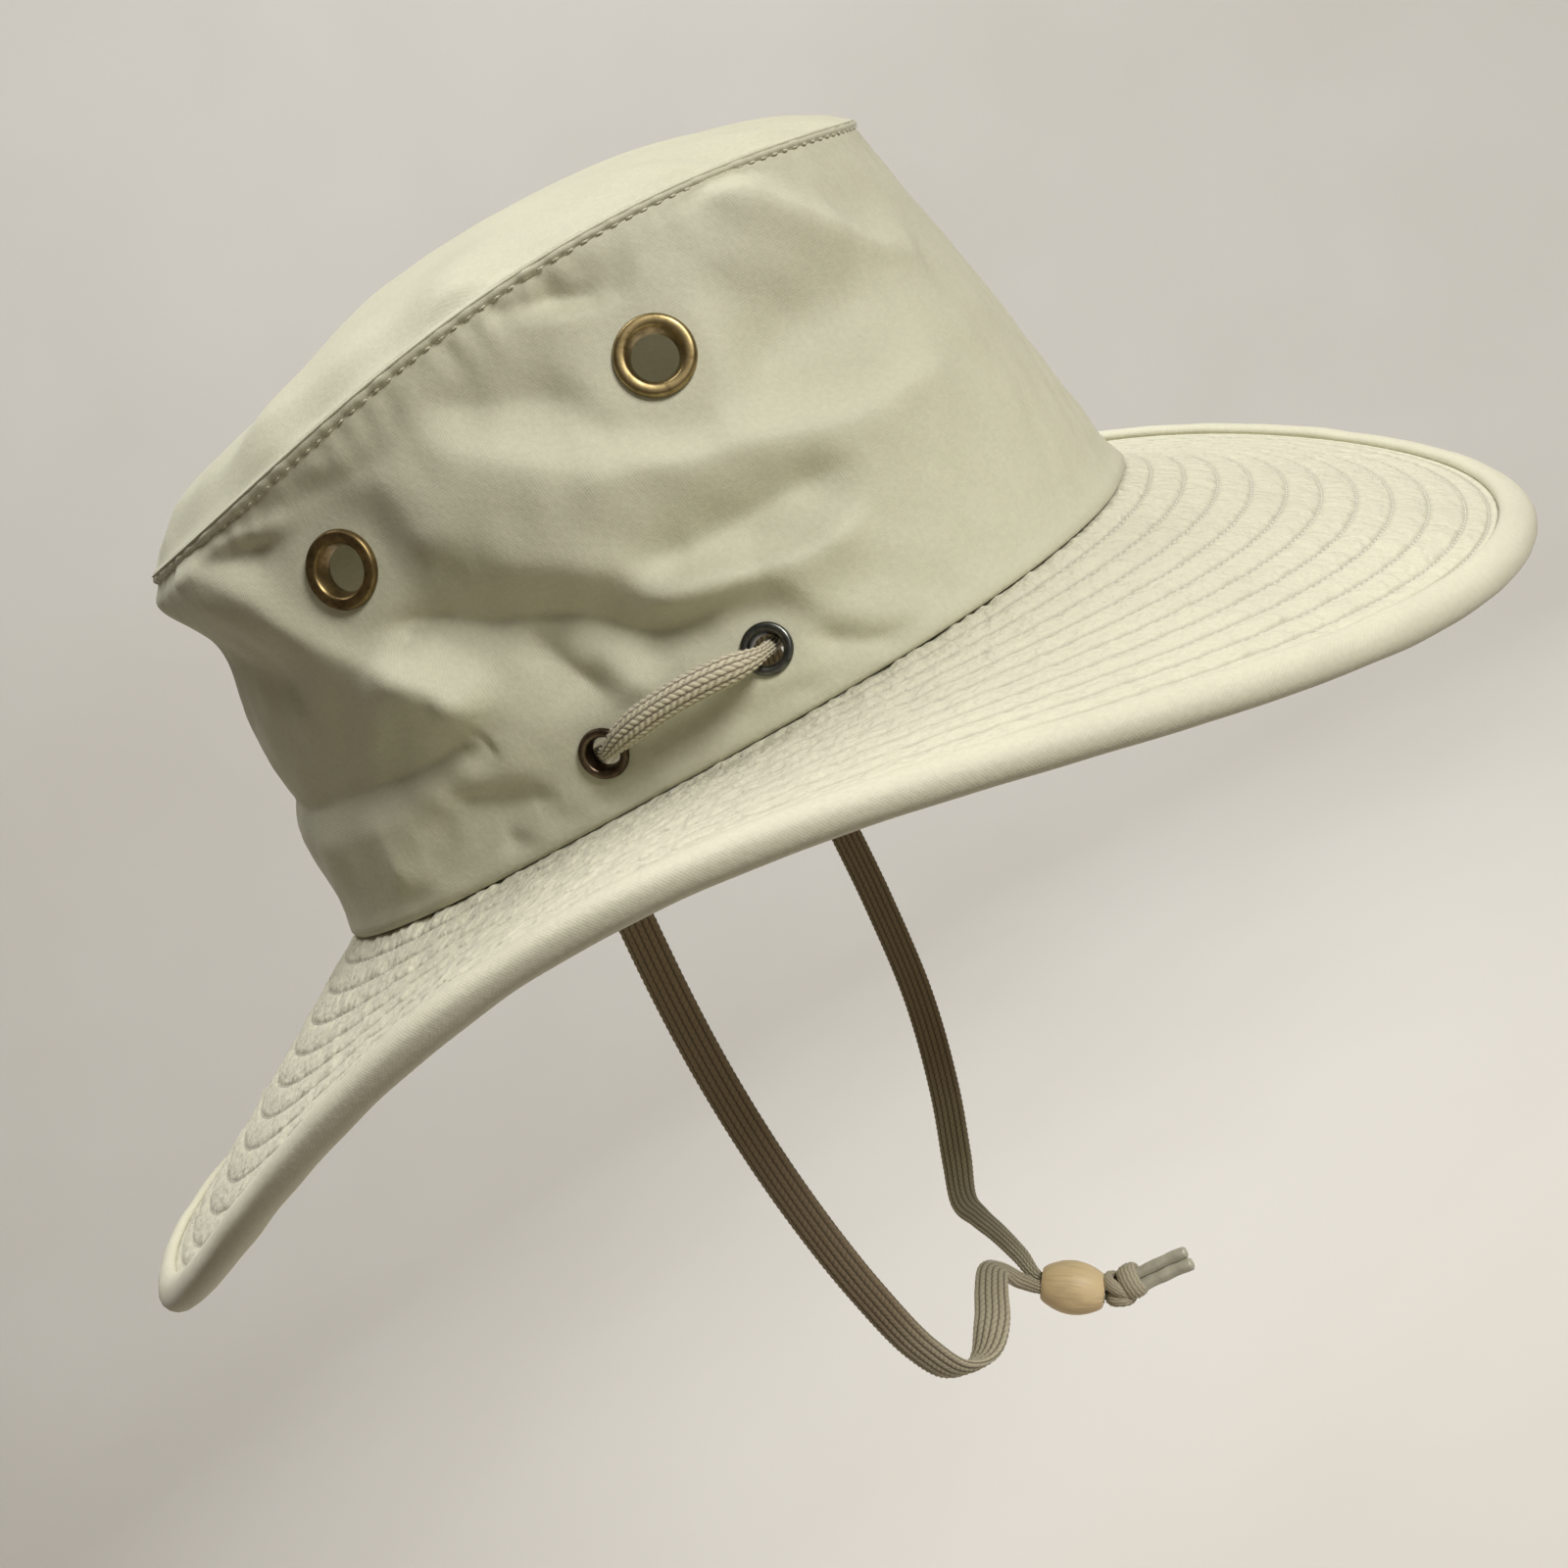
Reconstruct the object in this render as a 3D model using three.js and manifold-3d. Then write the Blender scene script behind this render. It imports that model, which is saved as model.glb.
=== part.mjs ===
// Safari hat in millimetres: +X is the front, +Y the wearer's left, +Z up.
// The origin is the middle of the crown's lower edge, at the height where the hat is worn.

import * as THREE from 'three';
import Module from 'manifold-3d';
import { mergeVertices } from 'three/addons/utils/BufferGeometryUtils.js';

const wasm = await Module();
wasm.setup();

const DEG = Math.PI / 180;
const GAP = 0.3;
const CLOTH = 1.6;
const AROUND = 72;

// Angles run from the front towards the wearer's left; the right side has the negative ones.
// square is the power of the oval's curve: 2 is an ellipse, and more is fuller at the corners.
const BASE = { halfLength: 98.8, halfWidth: 85, ahead: 2.4, left: 3, square: 2.5 };
const TOP = { halfLength: 91.2, halfWidth: 75.6, ahead: -2.3, left: 0, square: 2.05 };
const BELLY = 1;
const DOME = { middle: 115, thick: 1.8, welt: 0.8, rows: 4 };
const SIDE_ROWS = 12;

const VENT = { outer: 7.9, bore: 4.5, barrel: 5.1, hole: 5.4, crest: 1.6, washer: 7.2, sides: 12 };
const CORD_EYELET = { outer: 5.1, bore: 2.9, barrel: 3.4, hole: 3.7, crest: 1.3, washer: 4.7, sides: 10 };

const BRIM = { thick: 2.6, rows: 2, halfLength: 100.3, halfWidth: 85.5, ahead: 0, left: 0, square: 2 };
const BINDING = { wide: 7.4, thick: 4.4 };

const BEAD = { length: 15.2, middle: 6.3, end: 4.8, bore: 3.8, sides: 16 };

// Large folds: the line of each crest or hollow, its rise from the smooth wall and its half width.
const FOLDS = [
  { rise: 4.0, reach: 8, line: [[-140, 86], [-118, 61], [-98, 32]] },
  { rise: -6.0, reach: 10, line: [[-162, 70], [-140, 62], [-121, 46], [-104, 30]] },
  { rise: -4.5, reach: 6, line: [[-96, 57], [-86, 42], [-78, 37], [-66, 26]] },
  { rise: 3.0, reach: 8, line: [[-94, 66], [-78, 50], [-62, 34]] },
  { rise: 2.5, reach: 10, line: [[-85, 83], [-61, 54], [-46, 46], [-22, 46]] },
  { rise: -2.0, reach: 8, line: [[-82, 90], [-66, 71]] },
  { rise: -2.5, reach: 8, line: [[-36, 85], [-22, 66]] },
  { rise: -2.5, reach: 5, line: [[-131, 86], [-106, 78]] },
  { rise: 3.0, reach: 8, line: [[150, 84], [128, 66], [112, 44]] },
  { rise: -4.0, reach: 9, line: [[160, 66], [140, 58], [112, 36]] },
  { rise: -2.5, reach: 7, line: [[94, 55], [80, 42], [68, 36]] },
  { rise: 2.0, reach: 10, line: [[84, 78], [60, 56], [36, 48]] },
  { rise: -2.0, reach: 9, line: [[20, 84], [32, 72]] },
];

// Where the eyelets are set, for the right side; the left side mirrors them.
const VENT_PLACES = { front: { angle: -58, height: 72 }, back: { angle: -103.8, height: 69.2 } };
const CORD_EYELET_PLACES = { front: { angle: -66.8, height: 15.8 }, back: { angle: -88.6, height: 14.2 } };

// The chin cord's right strand, from its stop knot out and in through the eyelets and down to the bead.
// wide and thick are the section; around and down are the directions, in degrees, that its flat faces.
const STRAND_TOP = [
  { x: 43.8, y: -63.6, z: 15.2, wide: 4, thick: 4, around: -90, down: 0 },
  { x: 42.6, y: -69.2, z: 15.4, wide: 3.2, thick: 3.2, around: -90, down: 0 },
  { x: 41.9, y: -73.3, z: 15.6, wide: 2.7, thick: 2.7, around: -90, down: 0 },
  { x: 41, y: -79.3, z: 15.9, wide: 2.7, thick: 2.7, around: -90, down: 0 },
  { x: 39.2, y: -82.8, z: 16.4, wide: 4.2, thick: 4.2, around: -90, down: 0 },
  { x: 36.2, y: -85.4, z: 17.1, wide: 5.2, thick: 5.2, around: -90, down: 0 },
  { x: 32, y: -86.8, z: 17.6, wide: 5.3, thick: 5.3, around: -90, down: 0 },
  { x: 27, y: -87.4, z: 17.8, wide: 5.3, thick: 5.3, around: -90, down: 0 },
  { x: 21.5, y: -87.4, z: 17.6, wide: 5.3, thick: 5.3, around: -90, down: 0 },
  { x: 16, y: -87, z: 17, wide: 5.3, thick: 5.3, around: -90, down: 0 },
  { x: 11, y: -86.1, z: 16, wide: 4.6, thick: 4.6, around: -90, down: 0 },
  { x: 5.9, y: -83.8, z: 14.4, wide: 2.6, thick: 2.6, around: -90, down: 0 },
  { x: 2.6, y: -78.4, z: 13.9, wide: 2.7, thick: 2.7, around: -90, down: 0 },
  { x: -0.6, y: -75, z: 12.9, wide: 3.6, thick: 3.2, around: -90, down: 0 },
  { x: -4.4, y: -73, z: 10, wide: 5, thick: 3, around: -90, down: 0 },
  { x: -8.6, y: -71.6, z: 4, wide: 7, thick: 2.6, around: -90, down: 0 },
  { x: -12.6, y: -71.2, z: -9, wide: 8.4, thick: 2.4, around: -90, down: 0 },
  { x: -16, y: -71, z: -28, wide: 8.6, thick: 2.4, around: -90, down: 0 },
];
const STRAND_RIGHT = [
  { x: -19, y: -70.5, z: -53, wide: 8.6, thick: 2.4, around: -90, down: 0 },
  { x: -20.4, y: -69.4, z: -76, wide: 8.6, thick: 2.4, around: -90, down: 2 },
  { x: -20.9, y: -67, z: -98, wide: 8.6, thick: 2.4, around: -90, down: 6 },
  { x: -20.8, y: -63.2, z: -118.6, wide: 8.6, thick: 2.4, around: -90, down: 14 },
  { x: -20.2, y: -57.4, z: -138.2, wide: 8.6, thick: 2.4, around: -90, down: 26 },
  { x: -18.4, y: -51, z: -149.6, wide: 8.6, thick: 2.4, around: -92, down: 44 },
  { x: -14.8, y: -43.8, z: -153, wide: 8.6, thick: 2.4, around: -110, down: 72 },
  { x: -11.9, y: -36, z: -149.8, wide: 8.4, thick: 2.4, around: 175, down: 62 },
  { x: -11.5, y: -28, z: -147, wide: 8, thick: 2.4, around: 160, down: 56 },
  { x: -11.9, y: -20, z: -146.6, wide: 7.4, thick: 2.4, around: 150, down: 50 },
  { x: -12.6, y: -13, z: -151.4, wide: 6.2, thick: 2.6, around: 150, down: 40 },
  { x: -12.8, y: -7, z: -157.8, wide: 4.2, thick: 3, around: 150, down: 30 },
];
const STRAND_LEFT = [
  { x: -19, y: 74.5, z: -53, wide: 8.6, thick: 2.4, around: 90, down: 0 },
  { x: -21, y: 71.5, z: -80, wide: 8.6, thick: 2.4, around: 90, down: 4 },
  { x: -24, y: 66.5, z: -108, wide: 8.6, thick: 2.4, around: 90, down: 12 },
  { x: -29, y: 59, z: -132, wide: 8.6, thick: 2.4, around: 92, down: 24 },
  { x: -33, y: 50, z: -147.5, wide: 8.6, thick: 2.4, around: 96, down: 44 },
  { x: -33.5, y: 40, z: -154.6, wide: 8.6, thick: 2.4, around: 110, down: 66 },
  { x: -28, y: 29.5, z: -156, wide: 8.4, thick: 2.4, around: 130, down: 70 },
  { x: -21.6, y: 19, z: -157.4, wide: 7.6, thick: 2.4, around: 140, down: 66 },
  { x: -16, y: 9.4, z: -160, wide: 5.4, thick: 2.8, around: 150, down: 60 },
];
// The crown sits a little to the left of the bead, so the left strand starts further out.
const STRAND_TOP_LEFT = 5;
const BEAD_START = new THREE.Vector3(-11.2, 0, -164.4);
const BEAD_AXIS = new THREE.Vector3(0.876, 0, -0.482).normalize();
const STRAND_SHIFT = 1.9;
const STRAND_IN_BEAD = 3.0;
const KNOT_AT = new THREE.Vector3(6.9, 0, -173.3);
const KNOT_RADIUS = 4.6;
const TAIL = { start: 11.5, end: 25, z: -173.3, shift: 1.75, round: 2.9 };
const STOP_RADIUS = 4.6;
const STOP_AT = new THREE.Vector3(45.2, -58.8, 15);
const CORD_SIDES = 8;

function seamHeight(angle) {
  return 93 + 3 * Math.cos(angle) - 2.2 * Math.cos(2 * angle) - 2.3 * Math.cos(3 * angle);
}

function baseHeight(angle) {
  return -Math.cos(2 * angle) - Math.sin(angle);
}

// How far the brim reaches from the crown, along its slope.
function brimWidth(angle) {
  return 82 - 5.2 * Math.cos(angle) + 7.2 * Math.cos(2 * angle);
}

// The brim dips at the front and back, lies nearly level at the sides, and is set a little higher on the right.
function brimSlope(angle) {
  const wave = 14.3 * Math.cos(2 * angle) + 4.1 * Math.cos(3 * angle) - 3.1 * Math.cos(4 * angle);
  const lopsided = 1.9 * Math.sin(angle) - 0.4 * Math.sin(2 * angle);
  return (19.2 - 1.9 * Math.cos(angle) + wave + lopsided) * DEG;
}

function ovalPoint(oval, angle) {
  const across = Math.cos(angle);
  const aside = Math.sin(angle);
  const sum = Math.abs(across) ** oval.square + Math.abs(aside) ** oval.square;
  const full = sum ** (-1 / oval.square);
  const x = oval.ahead + oval.halfLength * across * full;
  const y = oval.left + oval.halfWidth * aside * full;
  return new THREE.Vector3(x, y, 0);
}

// The direction straight out from an oval, seen from above.
function outward(oval, angle) {
  const along = ovalPoint(oval, angle + 0.01).sub(ovalPoint(oval, angle - 0.01));
  return new THREE.Vector3(along.y, -along.x, 0).normalize();
}

function lineDistance(x, y, line) {
  let nearest = Infinity;
  for (let i = 0; i + 1 < line.length; i += 1) {
    const [ax, ay] = line[i];
    const [bx, by] = line[i + 1];
    const span = (bx - ax) ** 2 + (by - ay) ** 2;
    const along = Math.min(1, Math.max(0, ((x - ax) * (bx - ax) + (y - ay) * (by - ay)) / span));
    nearest = Math.min(nearest, Math.hypot(x - ax - along * (bx - ax), y - ay - along * (by - ay)));
  }
  return nearest;
}

// Folds die out at both seams, where the cloth is held by its stitching.
function foldRise(angle, height) {
  const perDegree = 1.57;
  const wrapped = Math.atan2(Math.sin(angle), Math.cos(angle)) / DEG;
  let rise = 0;
  for (const fold of FOLDS) {
    for (const turn of [-360, 0, 360]) {
      const line = fold.line.map(([a, h]) => [a * perDegree, h]);
      const far = lineDistance((wrapped + turn) * perDegree, height, line);
      rise += fold.rise * Math.exp(-((far / fold.reach) ** 2));
    }
  }
  const fromSeams = Math.min(height - baseHeight(angle), seamHeight(angle) - height);
  return rise * THREE.MathUtils.smoothstep(fromSeams, 0, 14);
}

// A point of the side panel at a height; depth goes in from the outside face.
function wallPoint(angle, height, depth) {
  const base = baseHeight(angle);
  const up = (height - base) / (seamHeight(angle) - base);
  const point = ovalPoint(BASE, angle).lerp(ovalPoint(TOP, angle), up);
  const out = outward(BASE, angle).lerp(outward(TOP, angle), up).normalize();
  const rise = foldRise(angle, height) + BELLY * Math.sin(Math.PI * up);
  return point.addScaledVector(out, rise - depth).setZ(height);
}

// The seat of an eyelet: a point on the outside face and a frame whose Z axis looks out.
function seat(place) {
  const angle = place.angle * DEG;
  const centre = wallPoint(angle, place.height, 0);
  const lean = wallPoint(angle, place.height + 9, 0).sub(wallPoint(angle, place.height - 9, 0)).normalize();
  const along = wallPoint(angle + 0.1, place.height, 0).sub(wallPoint(angle - 0.1, place.height, 0)).normalize();
  const out = along.clone().cross(lean).normalize();
  const across = lean.clone().cross(out).normalize();
  const up = out.clone().cross(across);
  const frame = new THREE.Matrix4().makeBasis(across, up, out).setPosition(centre);
  return { centre, out, frame };
}

const seats = {};
for (const [end, place] of Object.entries(VENT_PLACES)) {
  seats[`vent_${end}_right`] = { ...seat(place), shape: VENT };
  seats[`vent_${end}_left`] = { ...seat({ angle: -place.angle, height: place.height }), shape: VENT };
}
for (const [end, place] of Object.entries(CORD_EYELET_PLACES)) {
  seats[`cord_eyelet_${end}_right`] = { ...seat(place), shape: CORD_EYELET };
  seats[`cord_eyelet_${end}_left`] = { ...seat({ angle: -place.angle, height: place.height }), shape: CORD_EYELET };
}

// Each eyelet clamps the cloth flat round itself.
function flattened(point, depth) {
  for (const { centre, out, shape } of Object.values(seats)) {
    const from = point.clone().sub(centre);
    const lift = from.dot(out);
    const aside = from.addScaledVector(out, -lift).length();
    const held = 1 - THREE.MathUtils.smoothstep(aside, shape.outer + 7, shape.outer + 15);
    if (Math.abs(lift) < 30) point.addScaledVector(out, -(lift + depth) * held);
  }
  return point;
}

// A section spun round the axis, each point then carried to its place on the hat.
function spun(section, sides, place) {
  const points = section.map(([radius, height]) => new THREE.Vector2(radius, height));
  const lathe = new THREE.LatheGeometry(points, sides);
  const position = lathe.getAttribute('position');
  for (let i = 0; i < position.count; i += 1) {
    const radius = Math.hypot(position.getX(i), position.getZ(i));
    const angle = Math.atan2(position.getX(i), position.getZ(i));
    const moved = place(angle, radius, position.getY(i));
    position.setXYZ(i, moved.x, moved.y, moved.z);
  }
  return closed(lathe);
}

function closed(geometry) {
  geometry.deleteAttribute('uv');
  geometry.deleteAttribute('normal');
  const welded = mergeVertices(geometry, 1e-4);
  const corners = [...welded.index.array];
  const position = welded.getAttribute('position');
  const a = new THREE.Vector3();
  const b = new THREE.Vector3();
  const c = new THREE.Vector3();
  let volume = 0;
  for (let i = 0; i < corners.length; i += 3) {
    a.fromBufferAttribute(position, corners[i]);
    b.fromBufferAttribute(position, corners[i + 1]);
    c.fromBufferAttribute(position, corners[i + 2]);
    volume += a.dot(b.cross(c));
  }
  if (volume < 0) {
    for (let i = 0; i < corners.length; i += 3) {
      [corners[i + 1], corners[i + 2]] = [corners[i + 2], corners[i + 1]];
    }
  }
  const kept = [];
  for (let i = 0; i < corners.length; i += 3) {
    const [p, q, r] = corners.slice(i, i + 3);
    if (p !== q && q !== r && r !== p) kept.push(p, q, r);
  }
  welded.setIndex(kept);
  return welded;
}

function toSolid(geometry) {
  return new wasm.Manifold(new wasm.Mesh({
    numProp: 3,
    vertProperties: new Float32Array(geometry.getAttribute('position').array),
    triVerts: new Uint32Array(geometry.index.array),
  }));
}

function fromSolid(solid) {
  const mesh = solid.getMesh();
  const geometry = new THREE.BufferGeometry();
  geometry.setAttribute('position', new THREE.BufferAttribute(new Float32Array(mesh.vertProperties), 3));
  geometry.setIndex([...mesh.triVerts]);
  return geometry;
}

// Side panel: a tall oval band of cloth with a round hole under each eyelet.
function sidePanel() {
  const outside = [];
  const inside = [];
  for (let row = 0; row <= SIDE_ROWS; row += 1) {
    outside.push([100, row / SIDE_ROWS]);
    inside.unshift([90, row / SIDE_ROWS]);
  }
  const section = [...outside, ...inside, outside[0]];
  const wall = spun(section, AROUND, (angle, radius, share) => {
    const depth = radius > 95 ? 0 : CLOTH;
    const low = baseHeight(angle) + GAP;
    const high = seamHeight(angle) - DOME.thick - GAP;
    return flattened(wallPoint(angle, THREE.MathUtils.lerp(low, high, share), depth), depth);
  });
  let solid = toSolid(wall);
  for (const { frame, shape } of Object.values(seats)) {
    const punch = new THREE.CylinderGeometry(shape.hole, shape.hole, 12, 10).rotateX(Math.PI / 2);
    solid = solid.subtract(toSolid(closed(punch.applyMatrix4(frame))));
  }
  return fromSolid(solid);
}

// Top panel: a shallow dome on the side panel's upper edge, fuller at the front and slumped at the rear.
function topPanel() {
  const over = [];
  const under = [];
  for (let row = 0; row <= DOME.rows; row += 1) {
    over.push([row / DOME.rows, 0]);
    under.unshift([row / DOME.rows, -1]);
  }
  return spun([...over, ...under], AROUND, (angle, share, face) => {
    const slump = 3.5 * Math.exp(-(((share - 0.5) / 0.2) ** 2)) * Math.max(0, -Math.cos(angle)) ** 2;
    const fullness = 2.3 + 0.3 * Math.cos(angle);
    const height = THREE.MathUtils.lerp(DOME.middle, seamHeight(angle), share ** fullness) - slump;
    const rim = ovalPoint(TOP, angle).addScaledVector(outward(TOP, angle), DOME.welt);
    const middle = new THREE.Vector3(TOP.ahead, TOP.left, 0);
    return middle.lerp(rim, share).setZ(height + face * DOME.thick);
  });
}

// The brim's outer edge, halfway through its thickness.
function brimEdge(angle) {
  const reach = brimWidth(angle) * Math.cos(brimSlope(angle));
  const drop = 1.9 * Math.cos(2 * angle) + brimWidth(angle) * Math.sin(brimSlope(angle));
  return ovalPoint(BRIM, angle).addScaledVector(outward(BRIM, angle), reach).setZ(-drop);
}

// A point of the brim: slant runs from the crown seam at 0 to the outer edge at 1, lift is across the brim.
function brimPoint(angle, slant, lift) {
  const inner = ovalPoint(BASE, angle).setZ(baseHeight(angle) - BRIM.thick / 2);
  const outer = brimEdge(angle);
  const down = outer.clone().sub(inner).normalize();
  const around = brimEdge(angle + 0.01).sub(brimEdge(angle - 0.01)).normalize();
  const up = down.clone().cross(around).normalize();
  return inner.lerp(outer, slant).addScaledVector(up, lift);
}

function brimSpan(angle) {
  return brimEdge(angle).distanceTo(ovalPoint(BASE, angle).setZ(baseHeight(angle)));
}

function brim() {
  const over = [[98, 0.5], [100, 0.5]];
  const under = [[100, -0.5], [98, -0.5]];
  for (let row = 1; row <= BRIM.rows; row += 1) {
    over.push([100 + row / BRIM.rows, 0.5]);
    under.unshift([100 + row / BRIM.rows, -0.5]);
  }
  return spun([...over, ...under, over[0]], AROUND, (angle, share, face) => {
    if (share < 99) {
      const ledge = ovalPoint(BASE, angle).addScaledVector(outward(BASE, angle), -CLOTH);
      return ledge.setZ(baseHeight(angle) + (face - 0.5) * BRIM.thick);
    }
    const slant = (share - 100) * (1 - (BINDING.wide + GAP) / brimSpan(angle));
    return brimPoint(angle, slant, face * BRIM.thick);
  });
}

// Binding: a padded strip of cloth rolled round the brim's edge.
function binding() {
  const half = BINDING.wide / 2;
  const tall = BINDING.thick / 2;
  const section = [];
  for (let i = 0; i <= 8; i += 1) {
    const turn = (i % 8) * 45 * DEG;
    const flat = (value) => Math.sign(value) * Math.abs(value) ** 0.7;
    section.push([100 + half * flat(Math.cos(turn)), tall * flat(Math.sin(turn))]);
  }
  return spun(section, AROUND, (angle, radius, lift) => {
    const slant = 1 + (radius - 100 - half) / brimSpan(angle);
    return brimPoint(angle, slant, lift);
  });
}

// Eyelet: a rolled flange outside, a barrel through the cloth and a washer pressed over it inside.
function eyelet({ frame, shape }) {
  const clamp = -CLOTH - GAP;
  const section = [
    [shape.bore, clamp - 0.6],
    [shape.washer, clamp - 0.6],
    [shape.washer, clamp],
    [shape.barrel, clamp],
    [shape.barrel, GAP],
    [shape.outer, GAP],
    [shape.outer - 0.5, shape.crest * 0.7],
    [(shape.outer + shape.barrel) / 2, shape.crest],
    [shape.barrel, shape.crest * 0.75],
    [shape.bore, GAP],
    [shape.bore, clamp - 0.6],
  ];
  const ring = spun(section, shape.sides, (angle, radius, height) =>
    new THREE.Vector3(radius * Math.cos(angle), radius * Math.sin(angle), height));
  return ring.applyMatrix4(frame);
}

// A strand is a straight prism bent onto its route.
function strand(route) {
  const curve = new THREE.CatmullRomCurve3(route.map(({ x, y, z }) => new THREE.Vector3(x, y, z)), false, 'centripetal');
  const section = new THREE.Shape();
  for (let i = 0; i < CORD_SIDES; i += 1) {
    const turn = (i + 0.5) * 2 * Math.PI / CORD_SIDES;
    const flat = (value) => Math.sign(value) * Math.abs(value) ** 0.8;
    if (i === 0) section.moveTo(flat(Math.cos(turn)), flat(Math.sin(turn)));
    else section.lineTo(flat(Math.cos(turn)), flat(Math.sin(turn)));
  }
  const steps = route.length - 1;
  const prism = new THREE.ExtrudeGeometry(section, { depth: 1, steps, bevelEnabled: false });
  const position = prism.getAttribute('position');
  for (let i = 0; i < position.count; i += 1) {
    const along = THREE.MathUtils.clamp(position.getZ(i), 0, 1);
    const row = route[Math.round(along * steps)];
    const tangent = curve.getTangent(along);
    const face = facing(row);
    face.addScaledVector(tangent, -face.dot(tangent)).normalize();
    const side = face.clone().cross(tangent);
    const point = new THREE.Vector3(row.x, row.y, row.z);
    point.addScaledVector(side, position.getX(i) * row.wide / 2);
    point.addScaledVector(face, position.getY(i) * row.thick / 2);
    position.setXYZ(i, point.x, point.y, point.z);
  }
  return closed(prism);
}

function facing({ around, down }) {
  const level = Math.cos(down * DEG);
  return new THREE.Vector3(level * Math.cos(around * DEG), level * Math.sin(around * DEG), -Math.sin(down * DEG));
}

function route(hanging, hand) {
  const shift = hand > 0 ? STRAND_TOP_LEFT : 0;
  const upper = STRAND_TOP.map((row) => ({ ...row, y: shift - hand * row.y, around: hand * 90 }));
  const inBead = [-0.5, BEAD.length / 2, BEAD.length + 0.3].map((along) => {
    const at = BEAD_START.clone().addScaledVector(BEAD_AXIS, along);
    const round = { wide: STRAND_IN_BEAD, thick: STRAND_IN_BEAD, around: 150, down: 30 };
    return { x: at.x, y: hand * STRAND_SHIFT, z: at.z, ...round };
  });
  return [...upper, ...hanging, ...inBead];
}

function bead() {
  const section = [];
  for (let i = 0; i <= 6; i += 1) {
    const along = i / 6;
    const swell = Math.sqrt(1 - (2 * along - 1) ** 2 * 0.9);
    section.push([THREE.MathUtils.lerp(BEAD.end - 1.1, BEAD.middle, swell), along * BEAD.length]);
  }
  section.push([BEAD.bore, BEAD.length], [BEAD.bore, 0], section[0]);
  const across = new THREE.Vector3(0, 1, 0);
  const frame = new THREE.Matrix4().makeBasis(across, BEAD_AXIS.clone().cross(across), BEAD_AXIS);
  const barrel = spun(section, BEAD.sides, (angle, radius, height) =>
    new THREE.Vector3(radius * Math.cos(angle), radius * Math.sin(angle), height));
  return barrel.applyMatrix4(frame.setPosition(BEAD_START));
}

function lump(at, radius) {
  const ball = new THREE.IcosahedronGeometry(radius, 1);
  return closed(ball.translate(at.x, at.y, at.z));
}

function tail(hand) {
  const section = new THREE.Shape().absarc(0, 0, TAIL.round / 2, 0, 2 * Math.PI);
  const options = { depth: TAIL.end - TAIL.start, steps: 2, bevelEnabled: false, curveSegments: 4 };
  const rod = new THREE.ExtrudeGeometry(section, options).rotateY(Math.PI / 2);
  return closed(rod.translate(TAIL.start, hand * TAIL.shift, TAIL.z));
}

const cloth = { color: 0xb9b694, roughness: 0.85, metalness: 0 };
const quilted = { color: 0xcfcbaf, roughness: 0.88, metalness: 0 };
const brass = { color: 0x7d6a3c, roughness: 0.38, metalness: 1 };
const darkBrass = { color: 0x4a463a, roughness: 0.45, metalness: 1 };
const braid = { color: 0x8e8468, roughness: 0.9, metalness: 0 };
const wood = { color: 0xd2b98a, roughness: 0.5, metalness: 0 };

const hat = new THREE.Group();
hat.name = 'safari_hat';

function add(name, geometry, look) {
  geometry.computeVertexNormals();
  const mesh = new THREE.Mesh(geometry, new THREE.MeshStandardMaterial(look));
  mesh.name = name;
  hat.add(mesh);
}

add('crown_side', sidePanel(), cloth);
add('crown_top', topPanel(), cloth);
add('brim', brim(), quilted);
add('brim_binding', binding(), cloth);
for (const [name, place] of Object.entries(seats)) {
  add(name, eyelet(place), place.shape === VENT ? brass : darkBrass);
}
add('chin_cord_right', strand(route(STRAND_RIGHT, -1)), braid);
add('chin_cord_left', strand(route(STRAND_LEFT, 1)), braid);
add('cord_stop_right', lump(STOP_AT, STOP_RADIUS), braid);
add('cord_stop_left', lump(STOP_AT.clone().setY(STRAND_TOP_LEFT - STOP_AT.y), STOP_RADIUS), braid);
add('cord_bead', bead(), wood);
add('cord_knot', lump(KNOT_AT, KNOT_RADIUS), braid);
add('cord_tail_right', tail(-1), braid);
add('cord_tail_left', tail(1), braid);

export default hat;
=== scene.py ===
import math

import bmesh
import bpy
import numpy as np
from mathutils import Matrix, Vector


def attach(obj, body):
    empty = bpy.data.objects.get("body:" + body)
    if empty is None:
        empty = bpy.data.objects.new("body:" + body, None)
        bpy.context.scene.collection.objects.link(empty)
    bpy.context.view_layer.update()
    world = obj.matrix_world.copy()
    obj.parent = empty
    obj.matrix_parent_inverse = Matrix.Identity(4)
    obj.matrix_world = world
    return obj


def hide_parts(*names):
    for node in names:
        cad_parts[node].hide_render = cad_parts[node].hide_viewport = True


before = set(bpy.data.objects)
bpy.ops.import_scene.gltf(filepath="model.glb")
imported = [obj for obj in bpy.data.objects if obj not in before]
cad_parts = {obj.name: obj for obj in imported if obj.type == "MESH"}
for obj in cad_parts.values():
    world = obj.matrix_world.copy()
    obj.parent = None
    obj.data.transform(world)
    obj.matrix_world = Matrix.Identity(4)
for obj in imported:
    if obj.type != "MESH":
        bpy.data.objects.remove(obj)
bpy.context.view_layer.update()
scene = bpy.context.scene

# Crown band: the upright wall of the crown, a strip of proofed cotton closed into a tapered tube.
# It is sewn to the top panel above and to the brim below, and wear has creased it all round.
# Angles run from the front towards the hat's left side, and lengths are in millimetres.
MM = 0.001
BASE = {"half_length": 98.8, "half_width": 85.0, "ahead": 2.4, "left": 3.0, "square": 2.5}
TOP = {"half_length": 91.2, "half_width": 75.6, "ahead": -2.3, "left": 0.0, "square": 2.05}
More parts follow.
